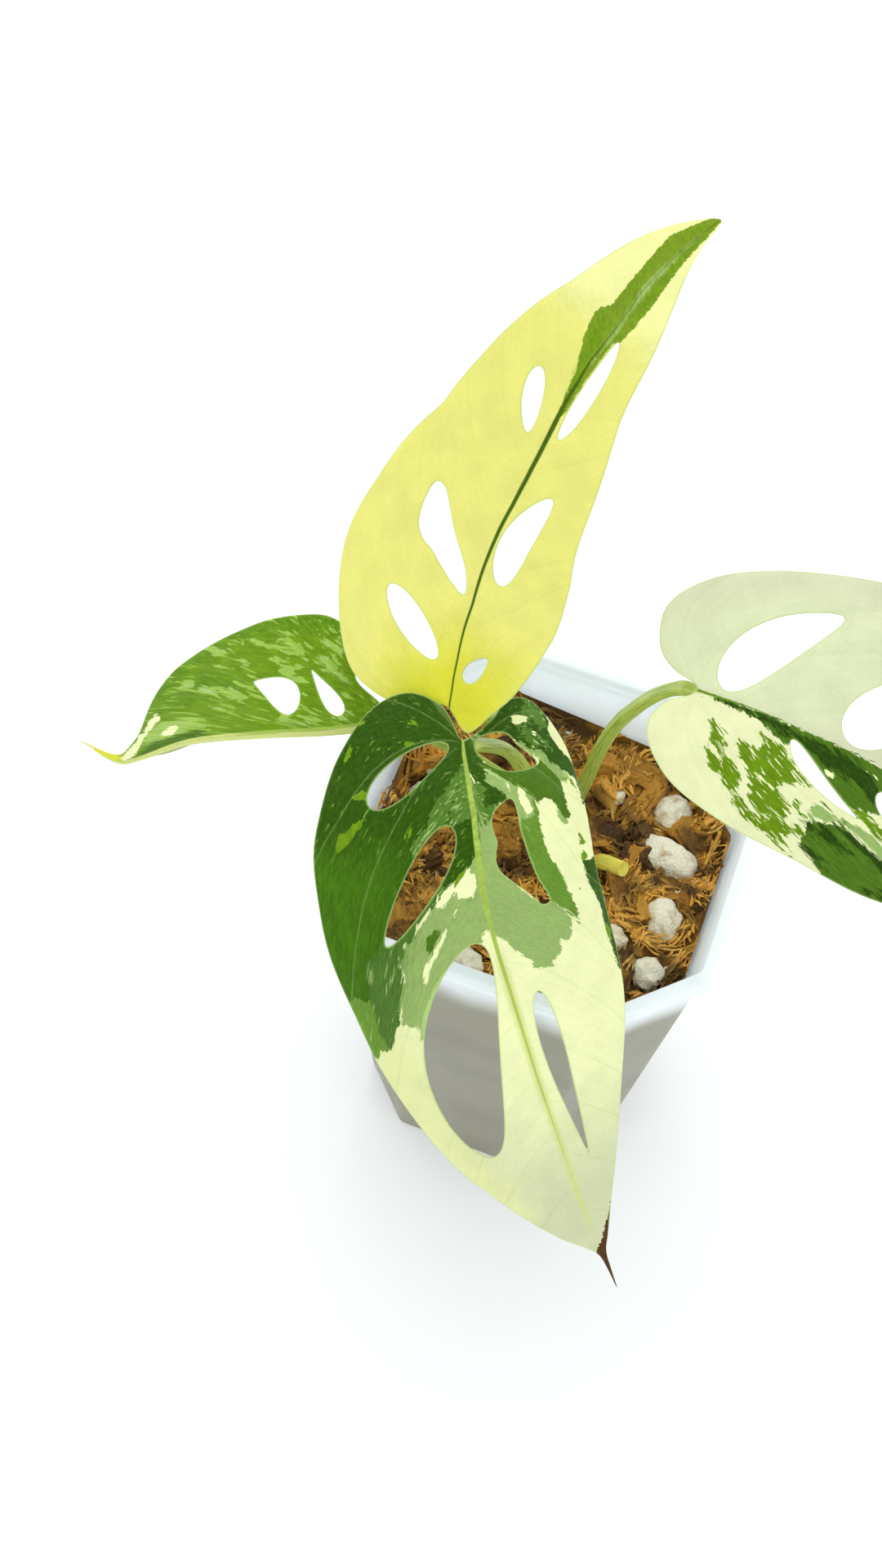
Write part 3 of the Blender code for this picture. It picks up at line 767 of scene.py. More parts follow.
@dataclass(frozen=True)
class PerliteSkin:
    """Expanded perlite: off-white, matt, with shaded pits and a dusting of husk."""

    pit_scale: float = 1400.0
    dust_scale: float = 260.0

    def make(self) -> bpy.types.Material:
        """Makes the material.

        Returns:
            The material.
        """
        made, graph, shader = new_material("Perlite")
        place = graph.place()
        dust = graph.noise(place, self.dust_scale, 3.0)
        pits = graph.add("TexVoronoi", {"Vector": place, "Scale": self.pit_scale}).outputs["Distance"]
        colour = graph.mix(graph.remap(dust, 0.5, 0.75), Tint.PERLITE, Tint.PERLITE_DUST_AND_SHADE)
        graph.feed(shader, {
            # Painted shade in the pits, in the same colour as the husk dust.
            "Base Color": graph.mix(graph.remap(pits, 0.0, 0.28, 0.45, 0.0), colour, Tint.PERLITE_DUST_AND_SHADE),
            "Roughness": graph.remap(dust, 0.3, 0.7, 0.8, 0.95),
            "Normal": graph.bump(pits, 0.7, 0.0004),
        })
        return made


@dataclass(frozen=True)
class PaleFloor:
    """Plain pale matt floor."""

    shade: tuple = (0.94, 0.96, 0.97, 1.0)
    glow: float = 0.1

    def make(self) -> bpy.types.Material:
        """Makes the material.

        Returns:
            The material.
        """
        made, graph, shader = new_material("Pale floor")
        graph.feed(shader, {
            "Base Color": graph.mix(graph.noise(graph.place(), 3.0), Tint.FLOOR, self.shade),
            "Roughness": 0.9,
            "Emission Color": Tint.FLOOR,
            "Emission Strength": self.glow,
        })
        return made


@dataclass(frozen=True)
class Layer:
    """One colour over the blade: where it lies in flat millimetres, how torn and how soft its edge is,
    and how far it grows past its outlines."""

    tint: Tint
    outlines: tuple[Points, ...]
    reach: float = 1.0
    seed: float = 0.0
    soft: float = 0.06
    grow: float = 0.0


@dataclass(frozen=True)
class Flecks:
    """Small flecks of one colour strewn over one layer, or over the base where the layer is 0."""

    tint: Tint
    over: int
    amount: float
    seed: float
    size: float = 1.0


@dataclass(frozen=True)
class LeafPlan:
    """One leaf: its place in space, its form when laid flat and its colours, in millimetres.

    Flat form: s runs along the midrib from the petiole, t across it. A window is
    (s, t, length, width, turn in degrees, taper, bow), and a cut-out is a window given by points of
    its edge. The rib line is (s, t, half width), and veins say where the lateral veins leave the
    midrib, for t below and above zero; vein bend is how much they lean to the tip at the midrib, how much
    more for each millimetre out and how much more for each millimetre that the vein starts further on.
    The streaks are how far the base colour strays along the veins.
    """

    name: str
    node: str
    slot: str
    petiole: Points
    petiole_radius: tuple[float, float]
    midrib: Points
    face_at_base: tuple[float, float, float]
    face_at_tip: tuple[float, float, float]
    fold: tuple[float, float]
    curl: tuple[float, float]
    margin: Points
    windows: Points
    base: tuple[Tint, Tint]
    layers: tuple[Layer, ...]
    rib: tuple[Tint, Tint]
    rib_line: Points
    vein_show: float
    veins: tuple[tuple[float, ...], tuple[float, ...]]
    vein_bend: tuple[float, float, float] = (0.45, 0.032, 0.0)
    cut_outs: tuple[Points, ...] = ()
    flecks: tuple[Flecks, ...] = ()
    streaks: float = 0.1
    rib_band: float = 0.0
    petiole_tints: tuple[Tint, Tint] = (Tint.PETIOLE, Tint.PETIOLE_DARK)


UPRIGHT = LeafPlan(
    name="Upright",
    node="Leaf_Upright",
    slot="leaf_cream",
    petiole=((-4.4, 15.6, 117.4), (-8, 10, 131), (-15, -1, 150), (-20, -10, 163), (-21.8, -14.8, 169.4)),
    petiole_radius=(2.0, 1.4),
    midrib=((-21.8, -14.8, 169.4), (-24.7, -1, 179.5), (-24, 9, 193), (-20, 16.5, 206.5), (-16, 24.5, 219.5),
            (-10, 32, 230), (-4, 42, 240), (1, 49, 246)),
    face_at_base=(-0.17, -0.76, 0.6),
    face_at_tip=(0.1, -0.7, 0.7),
    fold=(-4, 12),
    curl=(-11, -11),
    margin=((-0.5, -1.5), (-1, -8), (-0.5, -16), (4.5, -24), (13, -29), (23, -31), (35, -27), (49, -22),
            (56, -20.5), (68, -17), (79, -14), (91, -10), (100, -5), (106, 0), (101, 1.2), (94, 3.2),
            (81, 7.5), (65, 12), (49, 15.5), (35, 19), (22, 20), (11, 18.5), (4, 15), (-1, 10),
            (-5.3, 5.2), (-2, 1)),
    windows=((61, -5.5, 11.5, 4, -22, -0.2, 0), (68.2, 2.5, 21, 3.2, -5, 0.1, 1.2),
             (37, 6.2, 22, 6.3, 5, 0.2, -0.8), (14, -11, 17, 5.3, -54, 0, 0.6),
             (7, 4.8, 6.5, 3.8, 45, 0.3, 0)),
    cut_outs=(((21.4, -1.3), (24, -1.3), (27.5, -3.2), (31.5, -6.8), (35, -9.8), (37.4, -12.5), (37.2, -15),
               (33.5, -15.6), (30, -15), (28, -13), (27, -10.5), (25.3, -8), (23, -4.6)),),
    base=(Tint.BUTTER, Tint.BUTTER),
    layers=(
        Layer(Tint.LEMON, (((-12, -20), (8, -14), (14, 0), (8, 14), (-12, 16)),), 1.5, 3.0, 10.0),
        Layer(Tint.PALE_BUTTER, (((76, -30), (81, 3), (78, 30), (120, 30), (120, -40)),), 1.5, 4.0, 6.0),
        Layer(Tint.MOSS, (((60, 0.7), (64, 1.6), (78, 0.3), (78, 1.3), (85, 1.7), (107, 0.4), (107, -0.6),
            (98, -4.3), (82.6, -4.4), (81.5, -5.8), (79, -5.9), (75, -4.5), (70, -1.5)),), 0.16, 8.0),
        Layer(Tint.FRESH, (((64, 0.4), (68, 0.1), (79, -2.6), (80.4, -4.4), (77, -4.2)), ((84, 0.8),
            (104, 0), (100, -0.4), (85, 0))), 0.3, 12.0, 0.5),
        Layer(Tint.PALE_SAGE, (((72, -0.2), (88, -1), (102, -0.4), (89, -1.9)),), 0.2, 6.0, 0.5),
    ),
    rib=(Tint.RIB_DARK, Tint.RIB_DARK),
    rib_line=((0, 0, 0.2), (5, 0, 0.22), (12, 0.6, 0.25), (20, 1.3, 0.3), (35, 1.5, 0.38), (42, 1.4, 0.42),
              (50, 0.9, 0.46), (60, 0.7, 0.5), (68, 0.2, 0.35), (73, -0.7, 0.15), (80, -1.1, 0.08),
              (88, -1.6, 0.05), (97, -0.9, 0.05), (106, 0, 0.05)),
    vein_show=0.1,
    veins=((0, 17, 38, 50, 66, 82), (0, 14, 24, 50, 60, 84)),
    streaks=0.02,
)

LEFT = LeafPlan(
    name="Left",
    node="Leaf_Left",
    slot="leaf_green",
    petiole=((-8.6, 16.8, 101), (-15, 11, 112), (-25, 0, 134), (-33, -8, 146), (-37, -11, 150)),
    petiole_radius=(1.9, 1.3),
    midrib=((-37, -11, 150), (-48, -16, 148), (-63, -18, 141), (-81, -17, 127), (-95, -16.5, 112),
            (-102, -16, 106), (-113, -13, 104)),
    face_at_base=(-0.1, -0.45, 0.9),
    face_at_tip=(-0.2, -0.5, 0.8),
    fold=(-104, 10),
    curl=(-2, -12),
    margin=((-1, 1), (0, 4), (4.5, 10), (3, 16), (4.5, 21), (11, 24.5), (23, 25), (34, 23.5), (45, 20.5),
            (55, 16.5), (64, 11), (71, 5.5), (78, 2.5), (86, 1), (94, 0), (86, -1), (78, -2.5), (68, -8),
            (56, -14), (44, -19), (32, -22), (20, -23), (8, -21), (-1, -17), (-5, -11), (-5, -5), (-1, -1)),
    windows=((24.2, 8.6, 13, 6, 27, 0.7, 0.8), (11.8, 7.8, 12, 3.3, 56, 0.7, 0),
             (14, -8, 12, 3.6, -50, 0.3, 0),
             (30, -7, 15, 4.2, -28, 0.3, 0), (48, -5, 16, 3, -8, 0.3, 0)),
    base=(Tint.FRESH, Tint.FRESH),
    layers=(
        Layer(Tint.LEAF_GREEN, (((4, 19), (12, 21.5), (22, 22.4), (30, 21.6), (38, 20), (46, 17.3), (72, 5),
            (70, 30), (0, 30)), ((34, 12), (46, 14.5), (58, 11), (64, 7), (56, 8.5), (46, 9.5),
            (36, 9))), 2.0, 2.0, 0.5),
        Layer(Tint.PALE_GREEN, (((16, 14.5), (17, 16.3), (19, 18), (22, 19.8), (24, 20.2), (24, 19.5),
            (21, 18.3)), ((20, 17.5), (30, 20.6), (30, 21.4), (38, 21.2), (37, 20.6), (32, 20.4), (21, 17)),
            ((5.5, 9.2), (8, 12.2), (11, 14.4), (14, 15.6), (13, 14.3)), ((6.5, 16.3), (12.5, 19.6),
            (12.6, 18.3), (7, 16)), ((20.5, 14.7), (21.5, 16), (24, 16.3), (23.8, 15.2)), ((37.5, 18.5),
            (40, 19.1), (42.5, 18.7), (40, 18.2)), ((31, 14.9), (34, 16.1), (34, 15.2)), ((31, 7.8),
            (36, 9.9), (42, 10.9), (47, 11), (38, 9.1), (33, 7.4)), ((35, 5.4), (40, 6.8), (44, 6.9),
            (42, 5.9), (37, 5)), ((49, 12.3), (51, 13), (53, 12.2), (51.5, 11.8)), ((20.3, 5.2), (22.8, 5),
            (23, 2.5), (22, 1.6), (20.8, 3.2)), ((5, 1.8), (8, 3.6), (11, 4), (9, 2.2)), ((8.4, 12.6),
            (11, 15), (12.6, 15.4), (10.4, 13)), ((44, 2), (46, 4), (50, 5.1), (56, 4.9), (60, 5.5),
            (66, 5.1), (70, 3.4), (66, 2.2)), ((14, 0.8), (24, 1.8), (16, 1.8))), 0.9, 5.0, 0.25, 0.1),
        Layer(Tint.RIB_PALE, (((-4, -0.5), (84, -0.3), (70, -4), (0, -5)),), 0.6, 8.0, 0.5),
        Layer(Tint.CREAM, (((54.2, 3.4), (55.5, 4.2), (59, 4.1), (62, 3.2), (57, 2.3)), ((60.3, 7),
            (62, 8.4), (65, 7.5), (68, 5.6), (71, 5), (72.5, 3.6), (81, 1), (78, 0.3), (74, 0.7),
            (68, 4.4))), 0.3, 7.0),
        Layer(Tint.MID_GREEN, (((43, 1), (48, 2.1), (66, 2), (78, 0), (50, 0.2)),), 0.5, 3.0),
        Layer(Tint.LEMON, (((80, -6), (80, 6), (100, 6), (100, -6)),), 1.0, 9.0, 2.0),
    ),
    rib=(Tint.RIB_GREEN, Tint.RIB_PALE),
    rib_line=((0, 0.1, 0.5), (40, 0.1, 0.4), (80, 0.1, 0.25), (94, 0, 0.1)),
    vein_show=0.5,
    veins=((0, 17, 36), (0, 7, 14, 22, 32)),
    vein_bend=(0.5, 0.03, 0.2),
    flecks=(Flecks(Tint.PALE_GREEN, 0, 0.3, 1.0, 0.6), Flecks(Tint.PALE_GREEN, 1, 0.26, 4.0, 0.6),
            Flecks(Tint.PALE_SAGE, 2, 0.36, 9.0, 0.6)),
    streaks=0.3,
)

FRONT = LeafPlan(
    name="Front",
    node="Leaf_Front",
    slot="leaf_mixed",
    petiole=((-4.3, 11.8, 108.5), (-6.2, 3.5, 125), (-10, -7, 149), (-14, -17.5, 163.5), (-16, -22, 168)),
    petiole_radius=(1.9, 1.4),
    midrib=((-16, -22, 168), (-9, -34, 166), (0, -48, 154), (10, -57, 138), (19, -64, 123), (29, -71, 107),
            (36, -76, 97), (44, -81, 87)),
    face_at_base=(0.13, -0.33, 0.93),
    face_at_tip=(0.25, -0.8, 0.5),
    fold=(-12, 10),
    curl=(-34, -30),
    margin=((-1.5, 0.6), (-8.5, 3), (-12.5, 9), (-11, 16), (-5, 22.5), (4, 28.5), (18, 33), (33, 33.5),
            (48, 32), (62, 30.5), (76, 27), (90, 21.5), (103, 13), (111, 6.6), (115.5, 2.4), (118, 0.8),
            (122, 0.4),
            (127, 0.2), (122, -0.3), (117.5, -0.9), (113, -3.2), (103, -8), (90, -14), (78, -20),
            (66, -25.5), (53, -27.5), (38, -28),
            (20, -27), (3, -26.5), (-6, -23.5), (-11.5, -17), (-10.5, -11), (-6, -7), (-1.8, -1.8)),
    windows=((5, 12, 20, 7.2, 57, -0.2, 0.5), (27, 13, 25, 6.2, 39, 0.35, -0.8),
             (63, 11.2, 49, 15, 12, 0, 4), (74, -5, 40, 4, 0, 0.7, 0)),
    cut_outs=(((-0.4, -2.2), (2, -2.2), (4.4, -4), (5.7, -6.5), (5.8, -9.5), (4.8, -12.5),
               (3.3, -15), (2.2, -15.2),
               (0.9, -13.5), (-0.6, -11.4), (-2.5, -9.8), (-2.9, -8), (-2.2, -5), (-1.4, -3.2)),
              ((12.6, -7.6), (13.3, -5.8), (15, -3.6), (17, -2.7), (19, -2.9), (21, -3.4), (23, -2.9),
               (25, -2.7),
               (27, -3.5), (29, -5.3), (31.5, -7.6), (34, -9.6), (36, -10.9), (36.6, -12.3), (35.8, -13.1),
               (33, -12.4), (30, -11.2), (26, -10.1), (22, -9.2), (19, -8.6), (15, -8.4))),
    base=(Tint.CREAM, Tint.CREAM),
    layers=(
        # Painted shade: a soft greyer cream darkens the hanging tip, which turns away from the light.
        Layer(Tint.TIP_SHADE_CREAM, (((86, -40), (86, 6), (70, 20), (60, 40), (140, 40),
            (140, -40)),), 1.5, 9.0, 20.0),
        Layer(Tint.BUFF, (((50, 26), (60, 20), (80, 18), (104, 10), (104, 44), (50, 44)),), 1.0, 10.0, 5.0),
        Layer(Tint.SAGE, (((28.5, 6.6), (30, 7), (31.5, 9), (31.2, 10.5), (30, 11), (32, 11.5), (39, 19.5),
            (40.5, 19.6), (41.5, 18.5), (43, 19), (44, 20.9), (52.3, 22.7), (53.5, 20.3), (52.2, 19),
            (59, 21), (45, 12), (40.6, 5), (40, 3), (38, 2.2), (37, 0.2), (22.5, 0.2), (22.5, 3), (26, 3.4),
            (28, 2.2), (30.6, 3), (30.4, 5.6)), ((8, 0.9), (38.5, 0.4), (41, -1.8), (49, -6.3),
            (50.8, -9.8), (49.5, -10), (49.3, -11.5), (48, -12.6), (46.5, -12.5), (46, -13.2),
            (47.3, -14.8), (46.8, -16), (44.5, -16.4), (43.3, -17.5), (40, -15.5), (36, -14.3), (34, -9),
            (25, -3), (14, -5), (11.5, -1.5)), ((5.4, -1.8), (10.6, -2), (13.2, -6.8), (21, -8.2),
            (20, -10.4), (15, -12.9), (12.2, -12.6), (10, -11.4), (8.4, -9.2), (8.2, -7.5)), ((-3.6, -10),
            (-3.4, -11.5), (-0.5, -16), (-0.4, -18), (1.5, -19.5), (3, -22.6), (6, -21.4), (1.8, -14.5),
            (-0.4, -12)), ((15, -17.5), (17.5, -18), (19.3, -19.6), (18.5, -20.5), (17, -19.8))), 0.4, 1.0),
        Layer(Tint.MOTTLED, (((2, 0), (20.3, 14.8), (22.5, 13), (18.5, 9), (17, 4.4), (16.5, 0)), ((8, 0.4),
            (17.6, -0.6), (18, -1.8), (14, -4), (13, -6.8), (10, -3.2)), ((26.4, 9), (28.5, 10.4),
            (30, 9.8), (28.3, 7), (26.2, 7))), 0.5, 4.0),
        Layer(Tint.DARK_GREEN, (((-20, -0.4), (0, -0.2), (5, 1.4), (13, 8), (16, 9.8), (20, 13.6), (23, 13),
            (27, 14.5), (38, 21), (42, 25), (47, 26), (47.5, 28), (46, 30.5), (48, 36), (-20, 40)),
            ((15.5, 0.3), (17, 5), (22, 8), (27.6, 9.8), (28, 7.3), (25.8, 3.7), (23.2, 1.9), (23, 0.3)),
            ((-1.8, -1), (0, 0.6), (5, 0.6), (8, -0.5), (10.5, -2.6), (12.5, -1.4), (13.8, -2), (13.9, -4),
            (12.6, -7), (8.3, -2.5), (6.4, -3.3), (0, -3.4), (-2, -4)), ((-1.6, -2.5), (-2.4, -9.9),
            (0.8, -14.6), (0.2, -17), (2.2, -19.2), (3.6, -23), (3.4, -24.8), (2, -25.6), (0.2, -25.3),
            (-1.5, -22.5), (-5, -20), (-7.5, -21.2), (-9, -21), (-14, -22), (-16, -13), (-8, -2)),
            ((0, -26), (3.5, -25.6), (14.5, -26.2), (14, -28), (1, -28)), ((29, -23), (47, -25.8),
            (52, -25.3), (61, -26.3), (61, -30), (29, -30))), 0.45, 2.0),
        Layer(Tint.MID_GREEN, (((5.4, -2.4), (6, -4.4), (6.8, -4.3), (10.3, -10.8), (14.7, -13.2),
            (12.7, -14.6), (13.2, -16.5), (18, -19.8), (17.4, -21.3), (12, -20.3), (9, -20.9), (4.8, -20),
            (2.5, -16.3), (5.2, -9), (5, -6), (4, -3)), ((34.6, 11), (35.8, 13), (38, 13.6), (39.5, 13),
            (41, 14.8), (41.2, 14), (40.2, 12.8), (38, 12.3), (35, 10))), 0.4, 3.0),
        Layer(Tint.GRASS, (((20, 18), (26, 15), (36, 19), (46, 24), (50, 34), (50, 44), (18, 44),
            (18, 29)),), 1.0, 11.0, 8.0),
        Layer(Tint.BAND, (((9.5, -9.8), (12.5, -12), (15, -12.2), (16.8, -11.4), (17.2, -9), (19, -8),
            (22, -8), (30, -10.4), (36, -13), (44, -18.4), (45.7, -18.8), (43.5, -19.3), (40, -18.9),
            (30, -16.6), (23.5, -13.5), (12, -12.8)), ((46, 28.8), (45, 30), (48, 36), (58, 36), (60, 30.3),
            (59.5, 29.5), (58, 29), (58.3, 26.6), (46, 26.8))), 0.4, 3.0),
        Layer(Tint.MOTTLED, (((-13, -17), (-9, -13.5), (-6.5, -15), (-4, -18), (-6, -20.5), (-10, -20)),
            ((-3.5, -12), (-0.6, -15.5), (-1, -19), (-3, -18.5), (-5, -14))), 1.6, 14.0),
        Layer(Tint.BLUE_GREEN, (((35.8, 21.5), (39.5, 26.3), (50, 27.7), (58, 27.2), (58.3, 26.5),
            (53.5, 24.3), (52.5, 23), (47, 21.5), (41, 19), (40.5, 19.8), (38.5, 19.5), (39.2, 18),
            (38, 17.2), (36.8, 17.8), (36, 15.5), (33.5, 14.5), (33, 12.5), (31.6, 12), (31, 10.7),
            (26.6, 8), (34, 17)),), 0.4, 6.0),
        Layer(Tint.FRESH, (((13, 21.5), (13.2, 23.5), (14.5, 24.5), (15.5, 27), (18, 28.3), (19.7, 28),
            (19, 26.3)), ((6.7, 21.5), (8, 24.5), (9.2, 21), (9, 20.3), (7.5, 20.2)), ((-3.5, 22),
            (0, 24.3), (-1, 22.5), (-3, 21.5)), ((-6.5, 10), (-5.5, 10.5), (-4.5, 8.8), (-6, 8.5)),
            ((-1.8, 11.5), (-0.8, 11.8), (-0.7, 10.2), (-1.6, 9.5)), ((16, 13.3), (18.4, 14.8),
            (18.5, 13.8), (16.5, 12.8)), ((24.8, 3), (27.6, 6.6), (28.5, 6.5), (26.3, 3.6)), ((-8, 18),
            (-7.4, 20.4), (-6.4, 21)), ((21.5, -23.3), (22, -22.3), (24.5, -22.9), (24.6, -24.7)),
            ((26, -23.3), (27, -22.8), (28.9, -23.2), (28.6, -24.8), (27, -24.8)), ((4, -22.5), (5, -21.5),
            (6.5, -22.7), (5, -22.8)), ((4.2, -24), (6, -23.5), (7, -24.6), (11, -25.4), (7, -25.3)),
            ((49, -25.8), (52, -25.2), (55, -25.8), (52, -26.6))), 0.35, 5.0),
        Layer(Tint.PALE_SAGE, (((40.3, 6.5), (42.5, 10.8), (45, 13.9), (50, 17.2), (58.5, 21.1), (55, 17),
            (45, 11), (41, 4)), ((3, -21.8), (4, -21.6), (4.4, -23.4), (3.8, -24.4)), ((5.5, -3), (7, -3.6),
            (9, -8.6))), 0.25, 8.0),
        Layer(Tint.CREAM, (((25, 2.9), (28, 5.4), (29.4, 6), (30.3, 5.6), (30.5, 3), (29, 1.9), (27, 1.9)),
            ((28.4, 6.8), (29, 8.6), (30.8, 9.3), (31.5, 8.7)), ((32.3, 6.5), (33, 7.2), (33.8, 7.3),
            (33, 6.4)), ((35, 9), (41.5, 15), (44.7, 16.1), (44.5, 15.2), (42, 13.9), (35.5, 8.6)),
            ((-7.5, -12.5), (-6.5, -11), (-5, -10.8), (-5, -12.8), (-6.2, -15), (-7, -15)), ((-4.3, -15.7),
            (-3.2, -15.1), (-2.9, -16.3), (-3.6, -17.2)), ((-8, -21.5), (-5, -20), (-1.2, -23),
            (1.2, -26.3), (-1, -28), (-6, -27)), ((9.8, -9.7), (11, -9.1), (16.8, -9.9), (15.5, -11.8),
            (11, -10.8)), ((8, -5.8), (9.6, -7), (11.3, -7), (10.2, -8), (9.2, -7.6)), ((0.8, -14.5),
            (2.4, -15), (3.3, -15), (2.2, -16.3))), 0.25, 6.0),
        Layer(Tint.DRY, (((105, -12), (107, -6.2), (115, -0.6), (119, 4), (130, 4), (130, -4)),
            ((36.4, -21.2), (37, -21.2), (37, -20.7), (36.4, -20.7))), 0.3, 7.0),
    ),
    rib=(Tint.RIB_GREEN, Tint.RIB_CORE),
    rib_band=0.7,
    rib_line=((-1, 0.2, 0.2), (2, 0.5, 0.35), (10, 0.7, 0.5), (25, 0.8, 0.65), (30, 0.8, 0.65),
              (38, 0.5, 0.45),
              (50, 0.3, 0.34), (60, 0.2, 0.26), (85, 0, 0.1), (100, 0, -0.03), (108, 0, -0.2),
              (116, 0, -1.5)),
    vein_show=0.45,
    veins=((3.5, 26, 45, 64), (0, 29, 58)),
    flecks=(Flecks(Tint.SAGE, 4, 0.28, 2.0, 0.34), Flecks(Tint.DARK_GREEN, 4, 0.2, 11.0, 0.5),
            Flecks(Tint.BAND, 5, 0.18, 5.0, 0.3), Flecks(Tint.SAGE, 6, 0.14, 7.0, 0.34),
            Flecks(Tint.SAGE, 8, 0.14, 7.0, 0.36), Flecks(Tint.PALE_SAGE, 9, 0.22, 7.0, 0.4),
            Flecks(Tint.SAGE, 10, 0.2, 8.0, 0.5)),
    streaks=0.04,
)

RIGHT = LeafPlan(
    name="Right",
    node="Leaf_Right",
    slot="leaf_pale",
    petiole=((2.2, 17.8, 103.5), (3.6, 16.8, 114), (5.4, 14.5, 130), (8.1, 11.3, 145), (11.8, 7.8, 158),
             (15.9, 4.4, 169), (20.2, 1.2, 177), (23.5, -1, 180)),
    petiole_radius=(1.9, 1.3),
    midrib=((23.5, -1, 180), (36, -2, 181), (49, -2, 179), (62, 0, 174), (83, 5, 163), (104, 11, 149),
            (126, 18, 131)),
    face_at_base=(0.0, -0.45, 0.9),
    face_at_tip=(0.35, -0.4, 0.8),
    fold=(14, 10),
    curl=(-18, -24),
    margin=((-1, -1), (-6, -2.5), (-10, -6), (-11.5, -13), (-8, -19), (-1, -24), (11, -28.5), (24, -32.5),
            (38, -34), (52, -32), (66, -28), (80, -22), (93, -15), (104, -8), (112, -3), (120, 0),
            (108, 4.5), (97, 10), (85, 15.5), (72, 20), (58, 23), (44, 24.5), (28, 23.5), (14, 22.5),
            (3, 19.5), (-4, 14.5), (-7, 9), (-5, 4), (-1, 1)),
    windows=((11, -13, 26, 8.6, -52, 0.4, -1.4), (38, -12, 27, 11, -44, 0.4, 0), (66, -9, 22, 5, -24, 0.3, 0),
             (28, 7.6, 19, 2.8, 27, 0.6, 1.2), (49, 9.5, 21, 5, 22, 0.4, 0), (74, 7, 20, 3.5, 14, 0.4, 0)),
    # Painted shade: the half with t below zero, which faces away from the light, takes a greyer cream than
    # the other half.
    base=(Tint.PALE_CREAM, Tint.SHADED_IVORY),
    layers=(
        # Painted shade: a soft greyer cream over the outer part of the half with t below zero and a strip
        # beside the midrib, for the folded blade's shading.
        Layer(Tint.FOLD_SHADE_STONE, (((-20, -8), (-9, -13), (-2, -19), (10, -25), (26, -28), (46, -28), (70, -24),
            (70, -50), (-20, -50)), ((24, -1), (40, -4), (60, -3), (60, -0.2),
            (30, -0.2))), 1.0, 13.0, 6.0),
        Layer(Tint.LIME, (((5.4, 10.6), (8.6, 14), (9, 13.2), (8.2, 12)), ((4.5, 4.9), (5.5, 6.5),
            (5.6, 8.5), (9.5, 11), (7.5, 7)), ((9.6, 11.2), (10.2, 14), (11.2, 15.6), (13.7, 15.8),
            (13.2, 13.5), (12, 12), (11, 11.1)), ((12.6, 16.3), (14, 18), (16, 19), (20, 20.5), (22, 20.5),
            (28, 23), (25, 21)), ((10.6, 7.2), (13, 10.5), (17, 13.5), (16, 13.8), (17, 15), (16.5, 16),
            (20, 17.7), (21.5, 17), (23, 17.5), (24, 17), (23.8, 15), (20.5, 13), (20.4, 11.5), (21, 10.8),
            (25.5, 9.7), (23, 8.5), (18.5, 4.7), (14, 4.3), (15.5, 5.5), (15.3, 7.3)), ((20.3, 18.5),
            (22, 19.7), (25.5, 20), (25.3, 18.4), (24, 18)), ((24, 14), (25, 15), (28, 16), (27.5, 15.2),
            (25.8, 14.6), (25.5, 13.7), (24.5, 13.4)), ((25.8, 17.5), (28, 18.9), (28, 18.2), (27, 17.5)),
            ((34, 10.3), (43, 13), (50, 13.5), (38, 10.4))), 0.62, 1.0, 0.06, 0.32),
        Layer(Tint.SAGE, (((27.5, 12.5), (27.4, 14), (28.5, 15), (30.5, 14.8), (34, 13), (29, 12)),
            ((33, 13.6), (38, 14.4), (44, 16.4), (58, 19), (70, 17), (66, 14), (52, 15), (44, 14.6),
            (38, 12.7), (34, 12.8)), ((58, 1), (70, 4), (84, 5), (96, 4), (104, 1), (90, 0.5))), 0.5, 2.0),
        Layer(Tint.MID_GREEN, (((28.2, 20.5), (34, 23.5), (36, 26), (60, 25), (84, 17), (92, 12), (80, 13),
            (66, 18), (46, 17.5), (34, 14), (28.5, 15.4)), ((25, 10), (35, 13.7), (35, 12.9)), ((0, 0),
            (3, 0.4), (4.3, 1.5), (4.2, 0.7), (12, 1.6), (19, 4.2), (19, 5.4), (20.4, 3), (24, 4.4),
            (28, 8), (32, 10), (37, 10), (52, 7), (66, 0.2))), 0.4, 3.0),
        Layer(Tint.DEEP_GREEN, (((30, 15.7), (31.5, 17.5), (35, 18.5), (38.5, 19.1), (39, 17.9),
            (31, 15.3)), ((28.2, 20.5), (34, 23), (37, 22.8), (30, 20)), ((28.3, 15.5), (28, 17),
            (29.5, 17.6)), ((36, 15.4), (46, 19), (56, 20), (56, 18.2), (46, 17.6), (40, 15.8)),
            ((42.5, 22.5), (44, 23.5), (56, 24), (56, 22.5)), ((32, 14.3), (36, 14.6), (40, 16),
            (37, 15.8)), ((0, 0.1), (10, 0.9), (19, 3.2), (22, 2.6), (27, 4.6), (36, 6), (39, 7.4),
            (39.5, 5), (37, 2.8), (32, 1.2))), 0.8, 6.0, 0.3),
        Layer(Tint.CREAM, (((27.3, 5.6), (28.5, 6.4), (29.9, 6.4), (29.2, 5.3)), ((35, 2), (38, 3.2),
            (40, 4.6), (38, 2.6))), 0.25, 8.0),
    ),
    rib=(Tint.LIME, Tint.RIB_PALE),
    rib_line=((0, -0.1, 0.3), (5, -0.1, 0.22), (14, -0.1, 0.08), (30, 0, -0.05), (110, 0, -0.2)),
    vein_show=0.14,
    veins=((0, 16, 45, 74), (0, 8, 34, 57)),
    vein_bend=(0.6, 0.045, 0.05),
    flecks=(Flecks(Tint.PALE_CREAM, 2, 0.28, 2.0, 0.34), Flecks(Tint.LIME, 4, 0.14, 3.0, 0.5),
            Flecks(Tint.MID_GREEN, 5, 0.16, 5.0, 0.6)),
    streaks=0.03,
)


